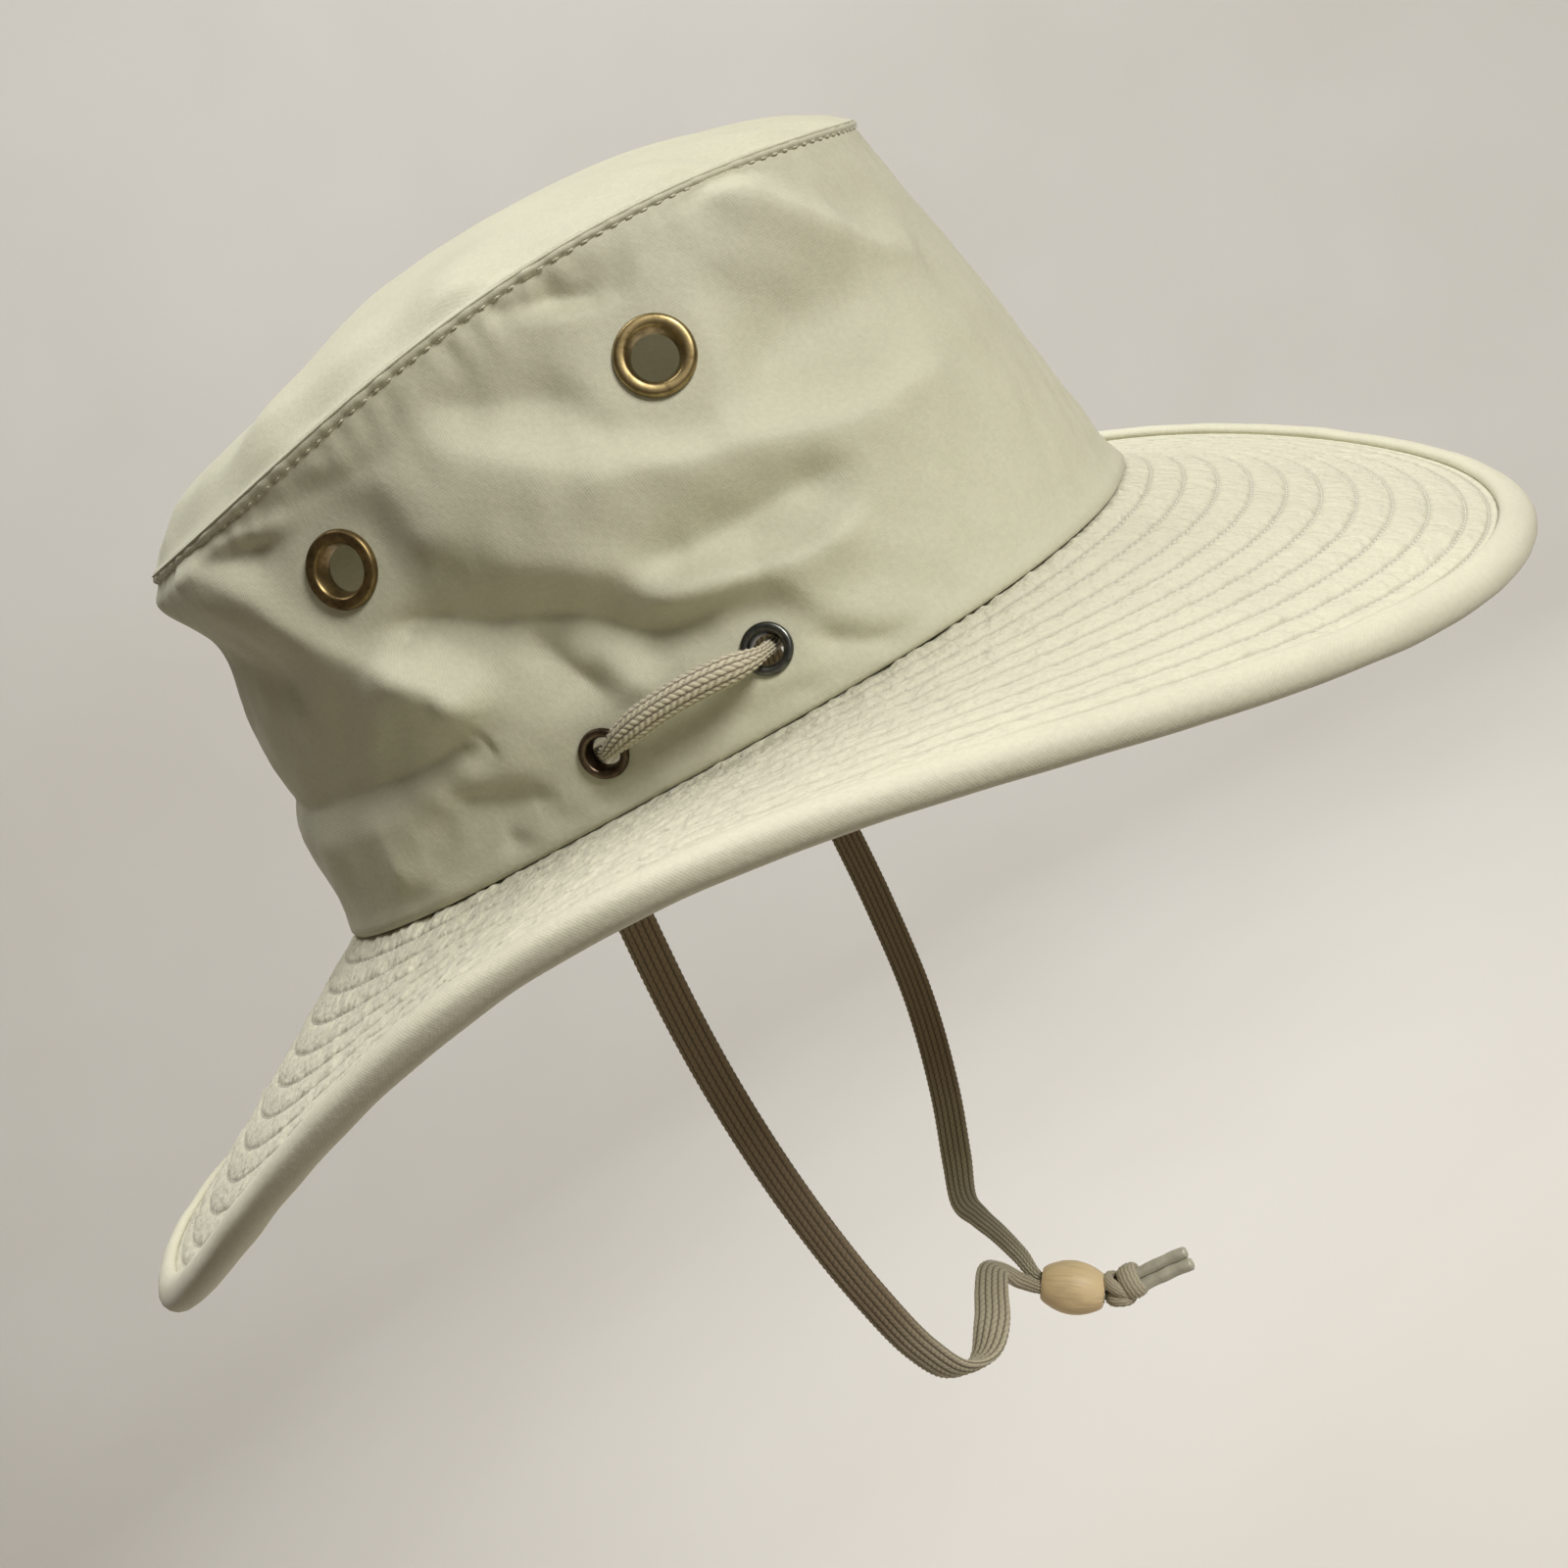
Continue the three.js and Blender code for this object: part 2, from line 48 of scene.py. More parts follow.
# The heights of the band's two edges, in waves of one or more to a turn.
SEAM_HEIGHT = {"mean": 93, "cosines": (3, -2.2, -2.3)}
BASE_HEIGHT = {"mean": 0, "cosines": (0, -1), "sines": (-1,)}
BELLY = 1.0
BAND_STEPS = 450
BAND_ROWS = 98
BAND_THICK = 1.0
BAND_TUCK = 0.8
BAND_HELD = 6
JOIN = 0.002
MM_PER_DEGREE = 1.57
SMALL_TURN = 0.01
# The mesh is finer round the right side, where the creases show: where, how far, and by how much.
FINER = {"towards": -95, "from": 0.3, "full": 0.75, "elsewhere": 0.75}
# The turned lower edge, from the stitching outwards, and how it dies away up the wall: height over
# the base and distance out.
HEM_ROLL = ((-0.35, -1.3), (0.0, -0.6), (0.35, 0.75), (1.3, 1.2), (2.6, 0.95))
HEM_FADE = ((2.6, 0.95), (5, 0.35), (9, 0))

VENT = {"outer": 7.9, "bore": 4.5, "hole": 5.4, "crest": 1.6, "washer": 7.2, "grip": 13.0}
CORD_EYELET = {"outer": 5.1, "bore": 2.9, "hole": 3.7, "crest": 1.3, "washer": 4.7, "grip": 8.0}
EYELET_MARGIN = 0.6
EYELET_REACH = 25
# The crease in front of each rear vent turns it a little towards the front.
VENT_TURN = 0.17
EYELETS = {
    f"{kind}_{end}_{side}": shape
    for kind, shape in (("vent", VENT), ("cord_eyelet", CORD_EYELET))
    for end in ("front", "back")
    for side in ("right", "left")
}

# Creases of the right side. rise is out of the smooth wall and sharp the roundness of the crest;
# over and under are how far the slope runs above and below the line, and ends is the length in which
# a crease dies away. The line goes from rear to front, in degrees and height.
FOLD_COLUMNS = ("rise", "sharp", "over", "under", "ends", "line")
FOLD_ROWS = (
    (4.5, 3.2, 10, 36, 10, ((-133, 96), (-128.5, 87), (-124, 81), (-118, 74), (-113.5, 63), (-108.5, 54),
     (-105, 44), (-100.5, 37), (-99, 28))),
    (4.2, 0.6, 7, 22, 8, ((-107, 52), (-102.5, 46), (-99.5, 39), (-97.5, 31))),
    (-3.4, 0.2, 26, 9, 4, ((-178.5, 35), (-160, 34), (-135, 29.5), (-122, 29), (-110, 28), (-101, 29))),
    (-4.8, 7, 14, 34, 14, ((-185, 66), (-160, 67), (-145, 67), (-130, 61.5), (-119.5, 48))),
    (1.7, 3, 8, 12, 16, ((-220, 84), (-180, 84), (-155, 84), (-141, 84))),
    (-2.2, 7, 26, 19, 10, ((-126.5, 48.5), (-118.5, 45), (-114, 36.5))),
    (-4.3, 0.4, 13, 11, 10, ((-106, 57), (-97, 52), (-92, 45), (-87, 43), (-83.5, 40.5), (-80.5, 36.5),
     (-78.5, 31.5), (-75.5, 27.5), (-71, 26.5), (-65, 26.5))),
    (3.7, 4.5, 24, 12, 12, ((-98, 66.5), (-87, 61), (-81, 50.5), (-75, 43.5), (-71.5, 34), (-62.5, 30))),
    (-1.6, 1.6, 6, 9, 6, ((-96.5, 65), (-93, 61), (-89, 57))),
    (-4.4, 0.7, 12, 14, 8, ((-89, 43), (-89, 37), (-86.5, 29.5), (-84.5, 21))),
    (1.3, 1.7, 5, 5.5, 6, ((-83.5, 33.5), (-81.5, 24.5), (-78.5, 17))),
    (5.0, 2, 23, 24, 20, ((-88.5, 85), (-79.5, 72.5), (-71, 59.5), (-61, 52.5), (-45.5, 43.5), (-24, 42))),
    (-4.6, 2.2, 14, 16, 12, ((-84, 89.5), (-79.5, 81), (-71, 75), (-65, 71))),
    (-2.1, 1.8, 8.5, 8.5, 6, ((-70.5, 67.5), (-65, 64), (-56, 58.5))),
    (-4.4, 1.9, 13, 9, 12, ((-74.5, 45), (-70, 39), (-62, 38.5), (-54, 38), (-46, 36.5))),
    (3.6, 2.1, 4.5, 9.5, 10, ((-75.5, 35), (-66.5, 32), (-58, 26), (-48.5, 26.5))),
    (6.5, 2, 13, 25, 14, ((-42, 98), (-31.5, 77), (-23, 66.5), (-13, 61.5))),
    (-5.0, 8, 16, 15, 12, ((-54, 64), (-43, 58), (-28, 63), (-14, 64.5))),
    (-1.3, 0.7, 4, 4, 3, ((-71.5, 95.5), (-65.5, 91), (-58.5, 85.5))),
    (-2.8, 1.3, 10, 3.2, 4, ((-66, 92.5), (-61.5, 89), (-55, 83.5))),
    (-1.4, 0.4, 4.5, 9, 14, ((-130, 87), (-122, 84), (-114, 80.5), (-102, 78.5))),
    (1.4, 1.2, 4.6, 4.6, 6, ((-123, 88.5), (-116, 85), (-105.5, 83))),
    (-1.1, 1.2, 4.5, 4, 15, ((-115, 87), (-103.5, 84), (-88, 83))),
    (-2.2, 1.2, 6.3, 7, 6, ((-110, 22), (-104, 15.5), (-96, 11))),
    (-1.0, 0.3, 1.8, 4.3, 3, ((-100.6, 32.5), (-100, 23))),
    (-1.9, 4.5, 7, 9, 8, ((-116, 16.5), (-108, 13), (-100, 11.5))),
    (1.8, 1.5, 9, 9, 6, ((-120.5, 27), (-121, 16), (-120.5, 6))),
    (1.3, 2.5, 8, 9, 8, ((-62, 24.5), (-57, 13), (-54, 3))),
    (-1.8, 0.8, 5, 5, 6, ((-63.5, 15), (-58.5, 8), (-53, 2))),
    (-1.5, 0.9, 4, 4.3, 3, ((-70, 10.5), (-64, 2.5))),
    (-0.9, 0.6, 3.5, 3.5, 3, ((-106, 9), (-101, 2))),
    (-0.9, 0.6, 3.5, 3.5, 3, ((-93, 8), (-88, 2))),
)
FOLDS = [dict(zip(FOLD_COLUMNS, row)) for row in FOLD_ROWS]
# The left side has the same creases, a little lower, further forward and softer.
LEFT_FOLDS = {"strength": 0.7, "forward": 5, "lower": 2, "softer": 1.5}
# How a crease is drawn: steps and rounds of smoothing of its line, the power of its slopes, and how
# softly one stretch of the line passes into the next.
CREASE = {"step": 1.7, "rounds": 12, "power": 1.7, "near": 0.1, "far": 0.15, "side": 1.6, "lead": 0.2}
# Small unevenness: a seed, the waves to a turn, how they slant across, and their height.
BAND_CRUMPLE = {"seed": 11, "turns": (8, 60), "rates": (-0.5, 0.5), "size": 0.12}
BAND_PUCKERS = {"seed": 12, "turns": (55, 110), "rates": (-0.15, 0.15), "size": 0.12}
PUCKERS_BELOW = 3
PUCKERS_REACH = 5


def oval(shape, angle):
    """A point of one of the crown's ovals, seen from above."""
    cosine, sine, square = np.cos(angle), np.sin(angle), shape["square"]
    full = (np.abs(cosine) ** square + np.abs(sine) ** square) ** (-1 / square)
    x = shape["ahead"] + shape["half_length"] * cosine * full
    y = shape["left"] + shape["half_width"] * sine * full
    return np.stack([x, y], axis=-1)


def unit(vectors):
    return vectors / np.linalg.norm(vectors, axis=-1, keepdims=True)


def outward(shape, angle):
    """The direction straight out of an oval."""
    along = oval(shape, angle + SMALL_TURN) - oval(shape, angle - SMALL_TURN)
    return unit(np.stack([along[..., 1], -along[..., 0]], axis=-1))


def waved(plan, angle):
    """A measure that changes round the hat in a few waves."""
    total = plan["mean"]
    for wave, part in ((np.cos, "cosines"), (np.sin, "sines")):
        for turns, size in enumerate(plan.get(part, ()), 1):
            total = total + size * wave(turns * angle)
    return total


def seam_height(angle):
    return waved(SEAM_HEIGHT, angle)


def base_height(angle):
    return waved(BASE_HEIGHT, angle)


def ease(value, low, high):
    """A smooth step from 0 at low to 1 at high."""
    share = np.clip((value - low) / (high - low), 0, 1)
    return share * share * (3 - 2 * share)


def mix(start, end, share):
    share = np.asarray(share)[..., None]
    return start + (end - start) * share


def raised(flat, height):
    """Places seen from above, with their heights."""
    return np.concatenate([flat, height[..., None]], axis=-1)


def wall(angle, height, rise):
    """A point of the band, lifted by rise from its smooth form."""
    base = base_height(angle)
    up = (height - base) / (seam_height(angle) - base)
    out = unit(mix(outward(BASE, angle), outward(TOP, angle), up))
    rise = rise + BELLY * np.sin(np.pi * np.clip(up, 0, 1))
    return raised(mix(oval(BASE, angle), oval(TOP, angle), up) + out * rise[..., None], height)


def run_along(points):
    """The length of a line from its start to each of its points."""
    steps = np.linalg.norm(np.diff(points, axis=0), axis=1)
    return np.concatenate([[0], np.cumsum(steps)])


def bent(corners):
    """A line through a few corners, rounded off between them."""
    run = run_along(corners)
    stops = np.linspace(0, run[-1], round(run[-1] / CREASE["step"]) + 1)
    line = np.stack([np.interp(stops, run, column) for column in corners.T], axis=1)
    for _ in range(CREASE["rounds"]):
        line[1:-1] = (line[:-2] + 2 * line[1:-1] + line[2:]) / 4
    return line


def crease(fold, angle, height):
    """How far one crease lifts the cloth at each place."""
    line = bent(np.array(fold["line"], float) * (MM_PER_DEGREE, 1))
    turn = 360 * MM_PER_DEGREE
    middle = line[:, 0].mean()
    around = np.degrees(angle) * MM_PER_DEGREE
    around = (around - middle + turn / 2) % turn - turn / 2 + middle
    widest = max(fold["over"], fold["under"])
    close = (around > line[:, 0].min() - widest) & (around < line[:, 0].max() + widest)
    x, y = line[:-1].T
    dx, dy = np.diff(line, axis=0).T
    length = np.hypot(dx, dy)
    start = np.cumsum(length) - length
    from_x, from_y = around[close][:, None] - x, height[close][:, None] - y
    share = np.clip((from_x * dx + from_y * dy) / length ** 2, 0, 1)
    from_x, from_y = from_x - share * dx, from_y - share * dy
    far = np.hypot(from_x, from_y)
    nearest = far.min(axis=1, keepdims=True)
    weight = np.exp((nearest - far) / (CREASE["near"] + CREASE["far"] * nearest))
    weight /= weight.sum(axis=1, keepdims=True)
    along = (weight * (start + share * length)).sum(axis=1)
    turned = (dx * from_y - dy * from_x) / (length * np.maximum(far, 1e-6))
    side = (weight * np.clip(CREASE["side"] * turned, -1, 1)).sum(axis=1)
    to_end = np.minimum(along, length.sum() - along)
    fade = ease(to_end, -CREASE["lead"] * fold["ends"], fold["ends"])
    reach = fold["under"] + (fold["over"] - fold["under"]) * (0.5 + 0.5 * side)
    depth = np.hypot((weight * far).sum(axis=1), fold["sharp"]) - fold["sharp"]
    rise = np.zeros(angle.shape)
    rise[close] = fold["rise"] * fade * np.clip(1 - depth / reach, 0, 1) ** CREASE["power"]
    return rise


def left_fold(fold):
    """The crease of the left side that answers to one of the right."""
    forward, lower = LEFT_FOLDS["forward"], LEFT_FOLDS["lower"]
    return {
        **fold,
        "line": [(forward - angle, height - lower) for angle, height in reversed(fold["line"])],
        "rise": fold["rise"] * LEFT_FOLDS["strength"],
        "sharp": fold["sharp"] * LEFT_FOLDS["softer"],
    }


def crumple(angle, across, seed, turns, rates, size):
    """Small seeded unevenness of cloth that meets itself after a full turn."""
    rng = np.random.default_rng(seed)
    waves = 36
    total = np.zeros(np.broadcast(angle, across).shape)
    for _ in range(waves):
        phase = rng.uniform(0, math.tau)
        total += np.sin(rng.integers(*turns) * angle + rng.uniform(*rates) * across + phase)
    return size * total / math.sqrt(waves / 2)


def band_rise(angle, height):
    """All the creases of the band, held down at both seams."""
    rise = sum(crease(fold, angle, height) + crease(left_fold(fold), angle, height) for fold in FOLDS)
    rise = rise + crumple(angle, height, **BAND_CRUMPLE)
    below_seam = seam_height(angle) - height
    puckers = crumple(angle, height, **BAND_PUCKERS)
    puckers = puckers * np.exp(-np.abs(below_seam - PUCKERS_BELOW) / PUCKERS_REACH)
    held = ease(height - base_height(angle), 0, BAND_HELD) * ease(below_seam, 0, BAND_HELD)
    return rise * held + puckers * ease(below_seam, 1, 4)


def cloth_mesh(name, places, u=None, v=None, capped=False, **values):
    """A grid of faces through a table of places in millimetres, joined wherever its edges meet.
    u and v are the places on the flat cloth, seen from above where none are given.
    capped closes the ends of a tube, and values are numbers kept for the material."""
    rows, steps = places.shape[:2]
    bm = bmesh.new()
    bmesh.ops.create_grid(bm, x_segments=rows - 1, y_segments=steps - 1, size=0.5)
    mesh = bpy.data.meshes.new(name)
    bm.to_mesh(mesh)
    bm.free()
    square = np.empty(len(mesh.vertices) * 3)
    mesh.vertices.foreach_get("co", square)
    share = square.reshape(-1, 3) + 0.5
    row = np.rint(share[:, 0] * (rows - 1)).astype(int)
    step = np.rint(share[:, 1] * (steps - 1)).astype(int)
    mesh.vertices.foreach_set("co", (places[row, step] * MM).ravel())
    u = places[..., 0] if u is None else np.broadcast_to(u, (rows, steps))
    v = places[..., 1] if v is None else np.broadcast_to(v, (rows, steps))
    corner = np.empty(len(mesh.loops), np.int32)
    mesh.loops.foreach_get("vertex_index", corner)
    flat = np.stack([u[row, step], v[row, step]], axis=-1)[corner] * MM
    mesh.uv_layers.new(name="surface").data.foreach_set("uv", flat.ravel())
    for attribute, table in values.items():
        column = np.broadcast_to(table, (rows, steps))[row, step].astype(np.float32)
        mesh.attributes.new(attribute, "FLOAT", "POINT").data.foreach_set("value", column)
    bm = bmesh.new()
    bm.from_mesh(mesh)
    bmesh.ops.remove_doubles(bm, verts=bm.verts, dist=JOIN * MM)
    if capped:
        bmesh.ops.holes_fill(bm, edges=[edge for edge in bm.edges if edge.is_boundary], sides=0)
    bmesh.ops.recalc_face_normals(bm, faces=bm.faces)
    bm.to_mesh(mesh)
    bm.free()
    return mesh


def ringed(table):
    """A table of places with its first row again at the end, so that the section closes."""
    return np.concatenate([table, table[:1]])


def set_socket(tree, socket, value):
    """Sets a node's input to a value, or joins it to another node."""
    if isinstance(value, bpy.types.NodeSocket):
        tree.links.new(value, socket)
    else:
        socket.default_value = value


def add_node(tree, kind, output, inputs, **settings):
    """One output of a new shader node, with the node's settings and its inputs."""
    made = tree.nodes.new(kind)
    for name, value in settings.items():
        setattr(made, name, value)
    for name, value in inputs.items():
        set_socket(tree, made.inputs[name], value)
    return made.outputs[output]


def on_cloth(tree):
    return add_node(tree, "ShaderNodeUVMap", "UV", {}, uv_map="surface")


def in_space(tree):
    return add_node(tree, "ShaderNodeTexCoord", "Object", {})


def kept_value(tree, name):
    return add_node(tree, "ShaderNodeAttribute", "Fac", {}, attribute_name=name)


def noise(tree, place, scale, detail, **more):
    inputs = {"Vector": place, "Scale": scale, "Detail": detail, **more}
    return add_node(tree, "ShaderNodeTexNoise", "Fac", inputs)


def bands(tree, place, scale, direction="X", **more):
    return add_node(tree, "ShaderNodeTexWave", "Fac", {"Vector": place, "Scale": scale, **more},
                    bands_direction=direction)


def added(tree, first, second):
    return add_node(tree, "ShaderNodeMath", "Value", {0: first, 1: second}, operation="ADD")


def blended(tree, share, start, end):
    inputs = {"Factor": share, "A": start, "B": end}
    return add_node(tree, "ShaderNodeMix", "Result", inputs, data_type="RGBA")


def bumped(tree, height, strength, deep, **under):
    """A surface roughened by a pattern, deep in millimetres, over the one under it."""
    return add_node(tree, "ShaderNodeBump", "Normal",
                    {"Height": height, "Strength": strength, "Distance": deep * MM, **under})


def tinted(colour, share):
    return tuple(share * c for c in colour)


def colour_ramp(tree, share, *stops):
    ramp = tree.nodes.new("ShaderNodeValToRGB")
    set_socket(tree, ramp.inputs["Fac"], share)
    while len(ramp.color_ramp.elements) < len(stops):
        ramp.color_ramp.elements.new(1.0)
    for element, (position, colour) in zip(ramp.color_ramp.elements, stops):
        element.position = position
        element.color = (*colour, 1)
    return ramp.outputs["Color"]


def new_finish(name):
    """A material and the tree of its nodes."""
    material = bpy.data.materials.new(name)
    material.use_nodes = True
    return material, material.node_tree


def finish_shader(tree, **inputs):
    """Sets the shader's sockets, which are named with _ for a space."""
    shader = tree.nodes["Principled BSDF"]
    for name, value in inputs.items():
        set_socket(tree, shader.inputs[name.replace("_", " ")], value)


def proofed_cotton(name, colour, thread, slant, rough, pucker=0.0):
    """Tight cotton with a dull finish: thread in millimetres, slant the turn of its twill in degrees.
    It is darkened by one kept value, which holds real stains and painted shade in stitch grooves and at
    needle holes; pucker is how much it is drawn up."""
    material, tree = new_finish(name)
    cloth, place = on_cloth(tree), in_space(tree)
    light = tinted(colour, 1.05)
    patches = noise(tree, place, 16.0, 5.0)
    pile = noise(tree, place, 900.0, 2.0)
    tint = colour_ramp(tree, patches, (0.3, tinted(colour, 0.9)), (0.5, colour), (0.72, light))
    flecks = colour_ramp(tree, pile, (0.3, tinted(colour, 0.72)), (0.7, light))
    tint = blended(tree, 0.22, tint, flecks)
    # Stains and painted shade: the kept value draws the colour down to 0.6 of itself, for smudges on the band
    # and for shade in stitch grooves and needle holes.
    tint = blended(tree, kept_value(tree, "dulled"), tint, (*tinted(colour, 0.6), 1))
    worn = add_node(tree, "ShaderNodeMapRange", "Result",
                    {"Value": patches, "To Min": rough - 0.06, "To Max": rough + 0.08})
    turn = (0, 0, math.radians(slant))
    twill = add_node(tree, "ShaderNodeMapping", "Vector", {"Vector": cloth, "Rotation": turn})
    ribs_scale = math.pi / (10 * thread * MM)
    ribs = bands(tree, twill, ribs_scale, Distortion=0.6, Detail=1.0)
    weave = added(tree, ribs, bands(tree, twill, ribs_scale * 0.8, "Y"))
    face = bumped(tree, noise(tree, cloth, 330.0, 2.0), pucker, 1.1)
    face = bumped(tree, weave, 0.12, 0.12, Normal=face)
    face = bumped(tree, pile, 0.4, 0.2, Normal=face)
    finish_shader(tree, Base_Color=tint, Roughness=worn, Normal=face, Sheen_Weight=0.12,
                  Sheen_Roughness=0.4, Specular_IOR_Level=0.3)
    return material


def add_piece(mesh, material, slot, *replaced):
    """A finished piece: smooth, in its material, and riding on the hat's one body."""
    mesh.polygons.foreach_set("use_smooth", np.ones(len(mesh.polygons), bool))
    mesh.materials.append(material)
    piece = bpy.data.objects.new(mesh.name, mesh)
    scene.collection.objects.link(piece)
    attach(piece, "root")
    if replaced:
        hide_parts(*replaced)
    return piece


def thicken(piece, thick):
    """Gives a sheet its thickness, on the inside of the face that shows."""
    solid = piece.modifiers.new("thickness", "SOLIDIFY")
    solid.thickness = thick * MM
    solid.offset = -1


def eyelet_seat(name):
    """Where an eyelet sits on the cloth's face and the direction that it looks in."""
    points = np.array([v.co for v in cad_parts[name].data.vertices]) / MM
    middle = points.mean(axis=0)
    axis = np.linalg.eigh(np.cov((points - middle).T))[1][:, 0]
    axis = axis * np.sign(axis[:2] @ middle[:2])
    face = ((points - middle) @ axis).max() - EYELETS[name]["crest"]
    seat = middle + axis * face
    if name.startswith("vent_back"):
        axis = unit(axis + np.array([VENT_TURN, 0, 0]))
    return seat, axis


seats = {name: eyelet_seat(name) for name in EYELETS}


def clamped(places):
    """The cloth lies flat under each eyelet."""
    for name, (middle, axis) in seats.items():
        lift = (places - middle) @ axis
        aside = np.linalg.norm(places - middle - lift[..., None] * axis, axis=-1)
        outer, grip = EYELETS[name]["outer"], EYELETS[name]["grip"]
        held = (1 - ease(aside, outer + EYELET_MARGIN, outer + grip)) * (np.abs(lift) < EYELET_REACH)
        places = places - (lift * held)[..., None] * axis
    return places


def punch_holes(mesh):
    """Cuts the cloth away inside each eyelet and draws the cut edge to a circle."""
    bm = bmesh.new()
    bm.from_mesh(mesh)
    for name, (middle, axis) in seats.items():
        hole = EYELETS[name]["hole"] * MM
        middle, axis = Vector(middle * MM), Vector(axis)
        inside = [f for f in bm.faces if (f.calc_center_median() - middle).length < hole]
        rim = {v for f in inside for v in f.verts}
        bmesh.ops.delete(bm, geom=inside, context="FACES")
        for vert in rim:
            if vert.is_valid:
                across = vert.co - middle
                across -= axis * across.dot(axis)
                vert.co = middle + across.normalized() * hole
    bm.to_mesh(mesh)
    bm.free()


fine = np.linspace(0, math.tau, 2001)
towards = np.cos(fine - math.radians(FINER["towards"]))
crowding = np.cumsum(FINER["elsewhere"] + ease(towards, FINER["from"], FINER["full"]))
crowding = (crowding - crowding[0]) / (crowding[-1] - crowding[0])
angle_table = np.interp(np.linspace(0, 1, BAND_STEPS + 1), crowding, fine)[None, :]
hem_over, hem_out = np.transpose(HEM_ROLL)
low = base_height(angle_table) + hem_over[-1]
high = seam_height(angle_table) - BAND_TUCK
hem_rows = base_height(angle_table) + hem_over[:-1, None]
upper_rows = low + (high - low) * np.linspace(0, 1, BAND_ROWS)[:, None]
heights = np.concatenate([hem_rows, upper_rows])
hem_swell = np.interp(heights - base_height(angle_table), *np.transpose(HEM_FADE))
hem_swell[: len(HEM_ROLL)] = hem_out[:, None]
angle_rows = np.broadcast_to(angle_table, heights.shape)
band_places = clamped(wall(angle_rows, heights, band_rise(angle_rows, heights) + hem_swell))

# Small grey smudges behind the crease under the right rear vent: angle, height and strength.
SMUDGES = ((-100.7, 51.8, 0.5), (-99.9, 50.6, 0.4), (-98.3, 52.2, 0.3), (-101.6, 50.4, 0.25))
SMUDGE_SPREAD = 0.8
smudged = np.zeros(heights.shape)
for angle, height, strength in SMUDGES:
    aside = (np.degrees(angle_rows) - 360 - angle) * MM_PER_DEGREE
    smudged += strength * np.exp(-(aside ** 2 + (heights - height) ** 2) / SMUDGE_SPREAD)

canvas = proofed_cotton("crown_cotton", (0.555, 0.547, 0.408), thread=0.45, slant=0, rough=0.62)
band_around = np.degrees(angle_rows) * MM_PER_DEGREE
band_mesh = cloth_mesh("crown_band", band_places, band_around, heights, dulled=smudged)
punch_holes(band_mesh)
crown_band = add_piece(band_mesh, canvas, "crown_cloth", "crown_side")
thicken(crown_band, BAND_THICK)

# Top panel: a flat-cut oval of the same cotton, sewn to the band's upper edge and domed by wear.
# It is fuller at the front, slumped at the rear, and rolls over into the seam.
# Shares run from the panel's middle, at 0, to its edge.
DOME_MIDDLE = 115.0
DOME_WELT = 0.8
TOP_ROWS = 64
TOP_STEPS = 240
FULLNESS = {"mean": 2.3, "cosines": (0.3,)}
SLUMP = {"deep": 3.5, "at": 0.5, "spread": 0.2}
SHOULDER = {"high": 2.7, "rises": (0.55, 0.88), "falls": (0.86, 1.0), "front_less": 0.8, "front": (-0.2, 0.8)}
TOP_PUCKERS = {"seed": 21, "turns": (9, 26), "rates": (-0.25, 0.25), "size": 1.15}
TOP_CRUMPLE = {"seed": 22, "turns": (3, 14), "rates": (-0.2, 0.2), "size": 0.5}
PUCKERS_SPREAD = 0.2
# The edge that turns down into the seam: distance out from the oval and height over the seam line.
TOP_ROLL = ((1.05, 0.0), (0.85, -0.35), (0.1, -0.55), (-0.8, -0.6))

angle_table = np.linspace(0, math.tau, TOP_STEPS + 1)[None, :]
even = np.linspace(0, 1, TOP_ROWS)[:, None]
share = np.sqrt(even) * 0.5 + even * 0.5
ahead = np.cos(angle_table)
slump = SLUMP["deep"] * np.exp(-((share - SLUMP["at"]) / SLUMP["spread"]) ** 2) * np.maximum(0, -ahead) ** 2
seam = seam_height(angle_table)
dome = DOME_MIDDLE + (seam - DOME_MIDDLE) * share ** waved(FULLNESS, angle_table) - slump
shoulder = SHOULDER["high"] * ease(share, *SHOULDER["rises"]) * (1 - ease(share, *SHOULDER["falls"]))
dome = dome + shoulder * (1 - SHOULDER["front_less"] * ease(ahead, *SHOULDER["front"]))
near_seam = np.exp(-((1 - share) / PUCKERS_SPREAD) ** 2) * ease(1 - share, 0, 0.05)
dome = dome + crumple(angle_table, share * 30, **TOP_PUCKERS) * near_seam
dome = dome + crumple(angle_table, share * 60, **TOP_CRUMPLE) * ease(share, 0.1, 0.6) * (1 - share)
rim, rim_out = oval(TOP, angle_table), outward(TOP, angle_table)
centre = np.array([TOP["ahead"], TOP["left"]])
top_places = [raised(centre + (rim + rim_out * DOME_WELT - centre) * share[..., None], dome)]
top_places += [raised(rim + rim_out * out, seam + over) for out, over in TOP_ROLL]
top_panel = add_piece(cloth_mesh("top_panel", np.concatenate(top_places)), canvas, "crown_cloth", "crown_top")
thicken(top_panel, BAND_THICK)

# Top seam: the band's upper edge, turned in and stitched down as a narrow raised welt.
# A row of pale thread holds its lower edge and draws a dimple at each needle hole.
SEAM_PITCH = 3.2
SEAM_STEPS_PER_STITCH = 6
SEAM_STITCH_BELOW = 2.3
SEAM_STITCH_OUT = 0.42
SEAM_STITCH = {"long": 1.9, "wide": 0.5, "high": 0.4}
FRONT_NARROWER = 0.3
WELT_THICK = 0.4
WELT_CRUMPLE = {"seed": 31, "turns": (40, 120), "rates": (0, 1), "size": 0.1}
# What each needle hole does to the welt: how much, where below the seam, and how far to either side.
NEEDLE_DIMPLE = {"much": 0.2, "below": 2.0, "spread": 0.7}
# NEEDLE_SHADE is painted shade: it darkens the welt's colour at each needle hole, beside the real dimple.
NEEDLE_SHADE = {"much": 0.8, "below": SEAM_STITCH_BELOW, "spread": 0.5}
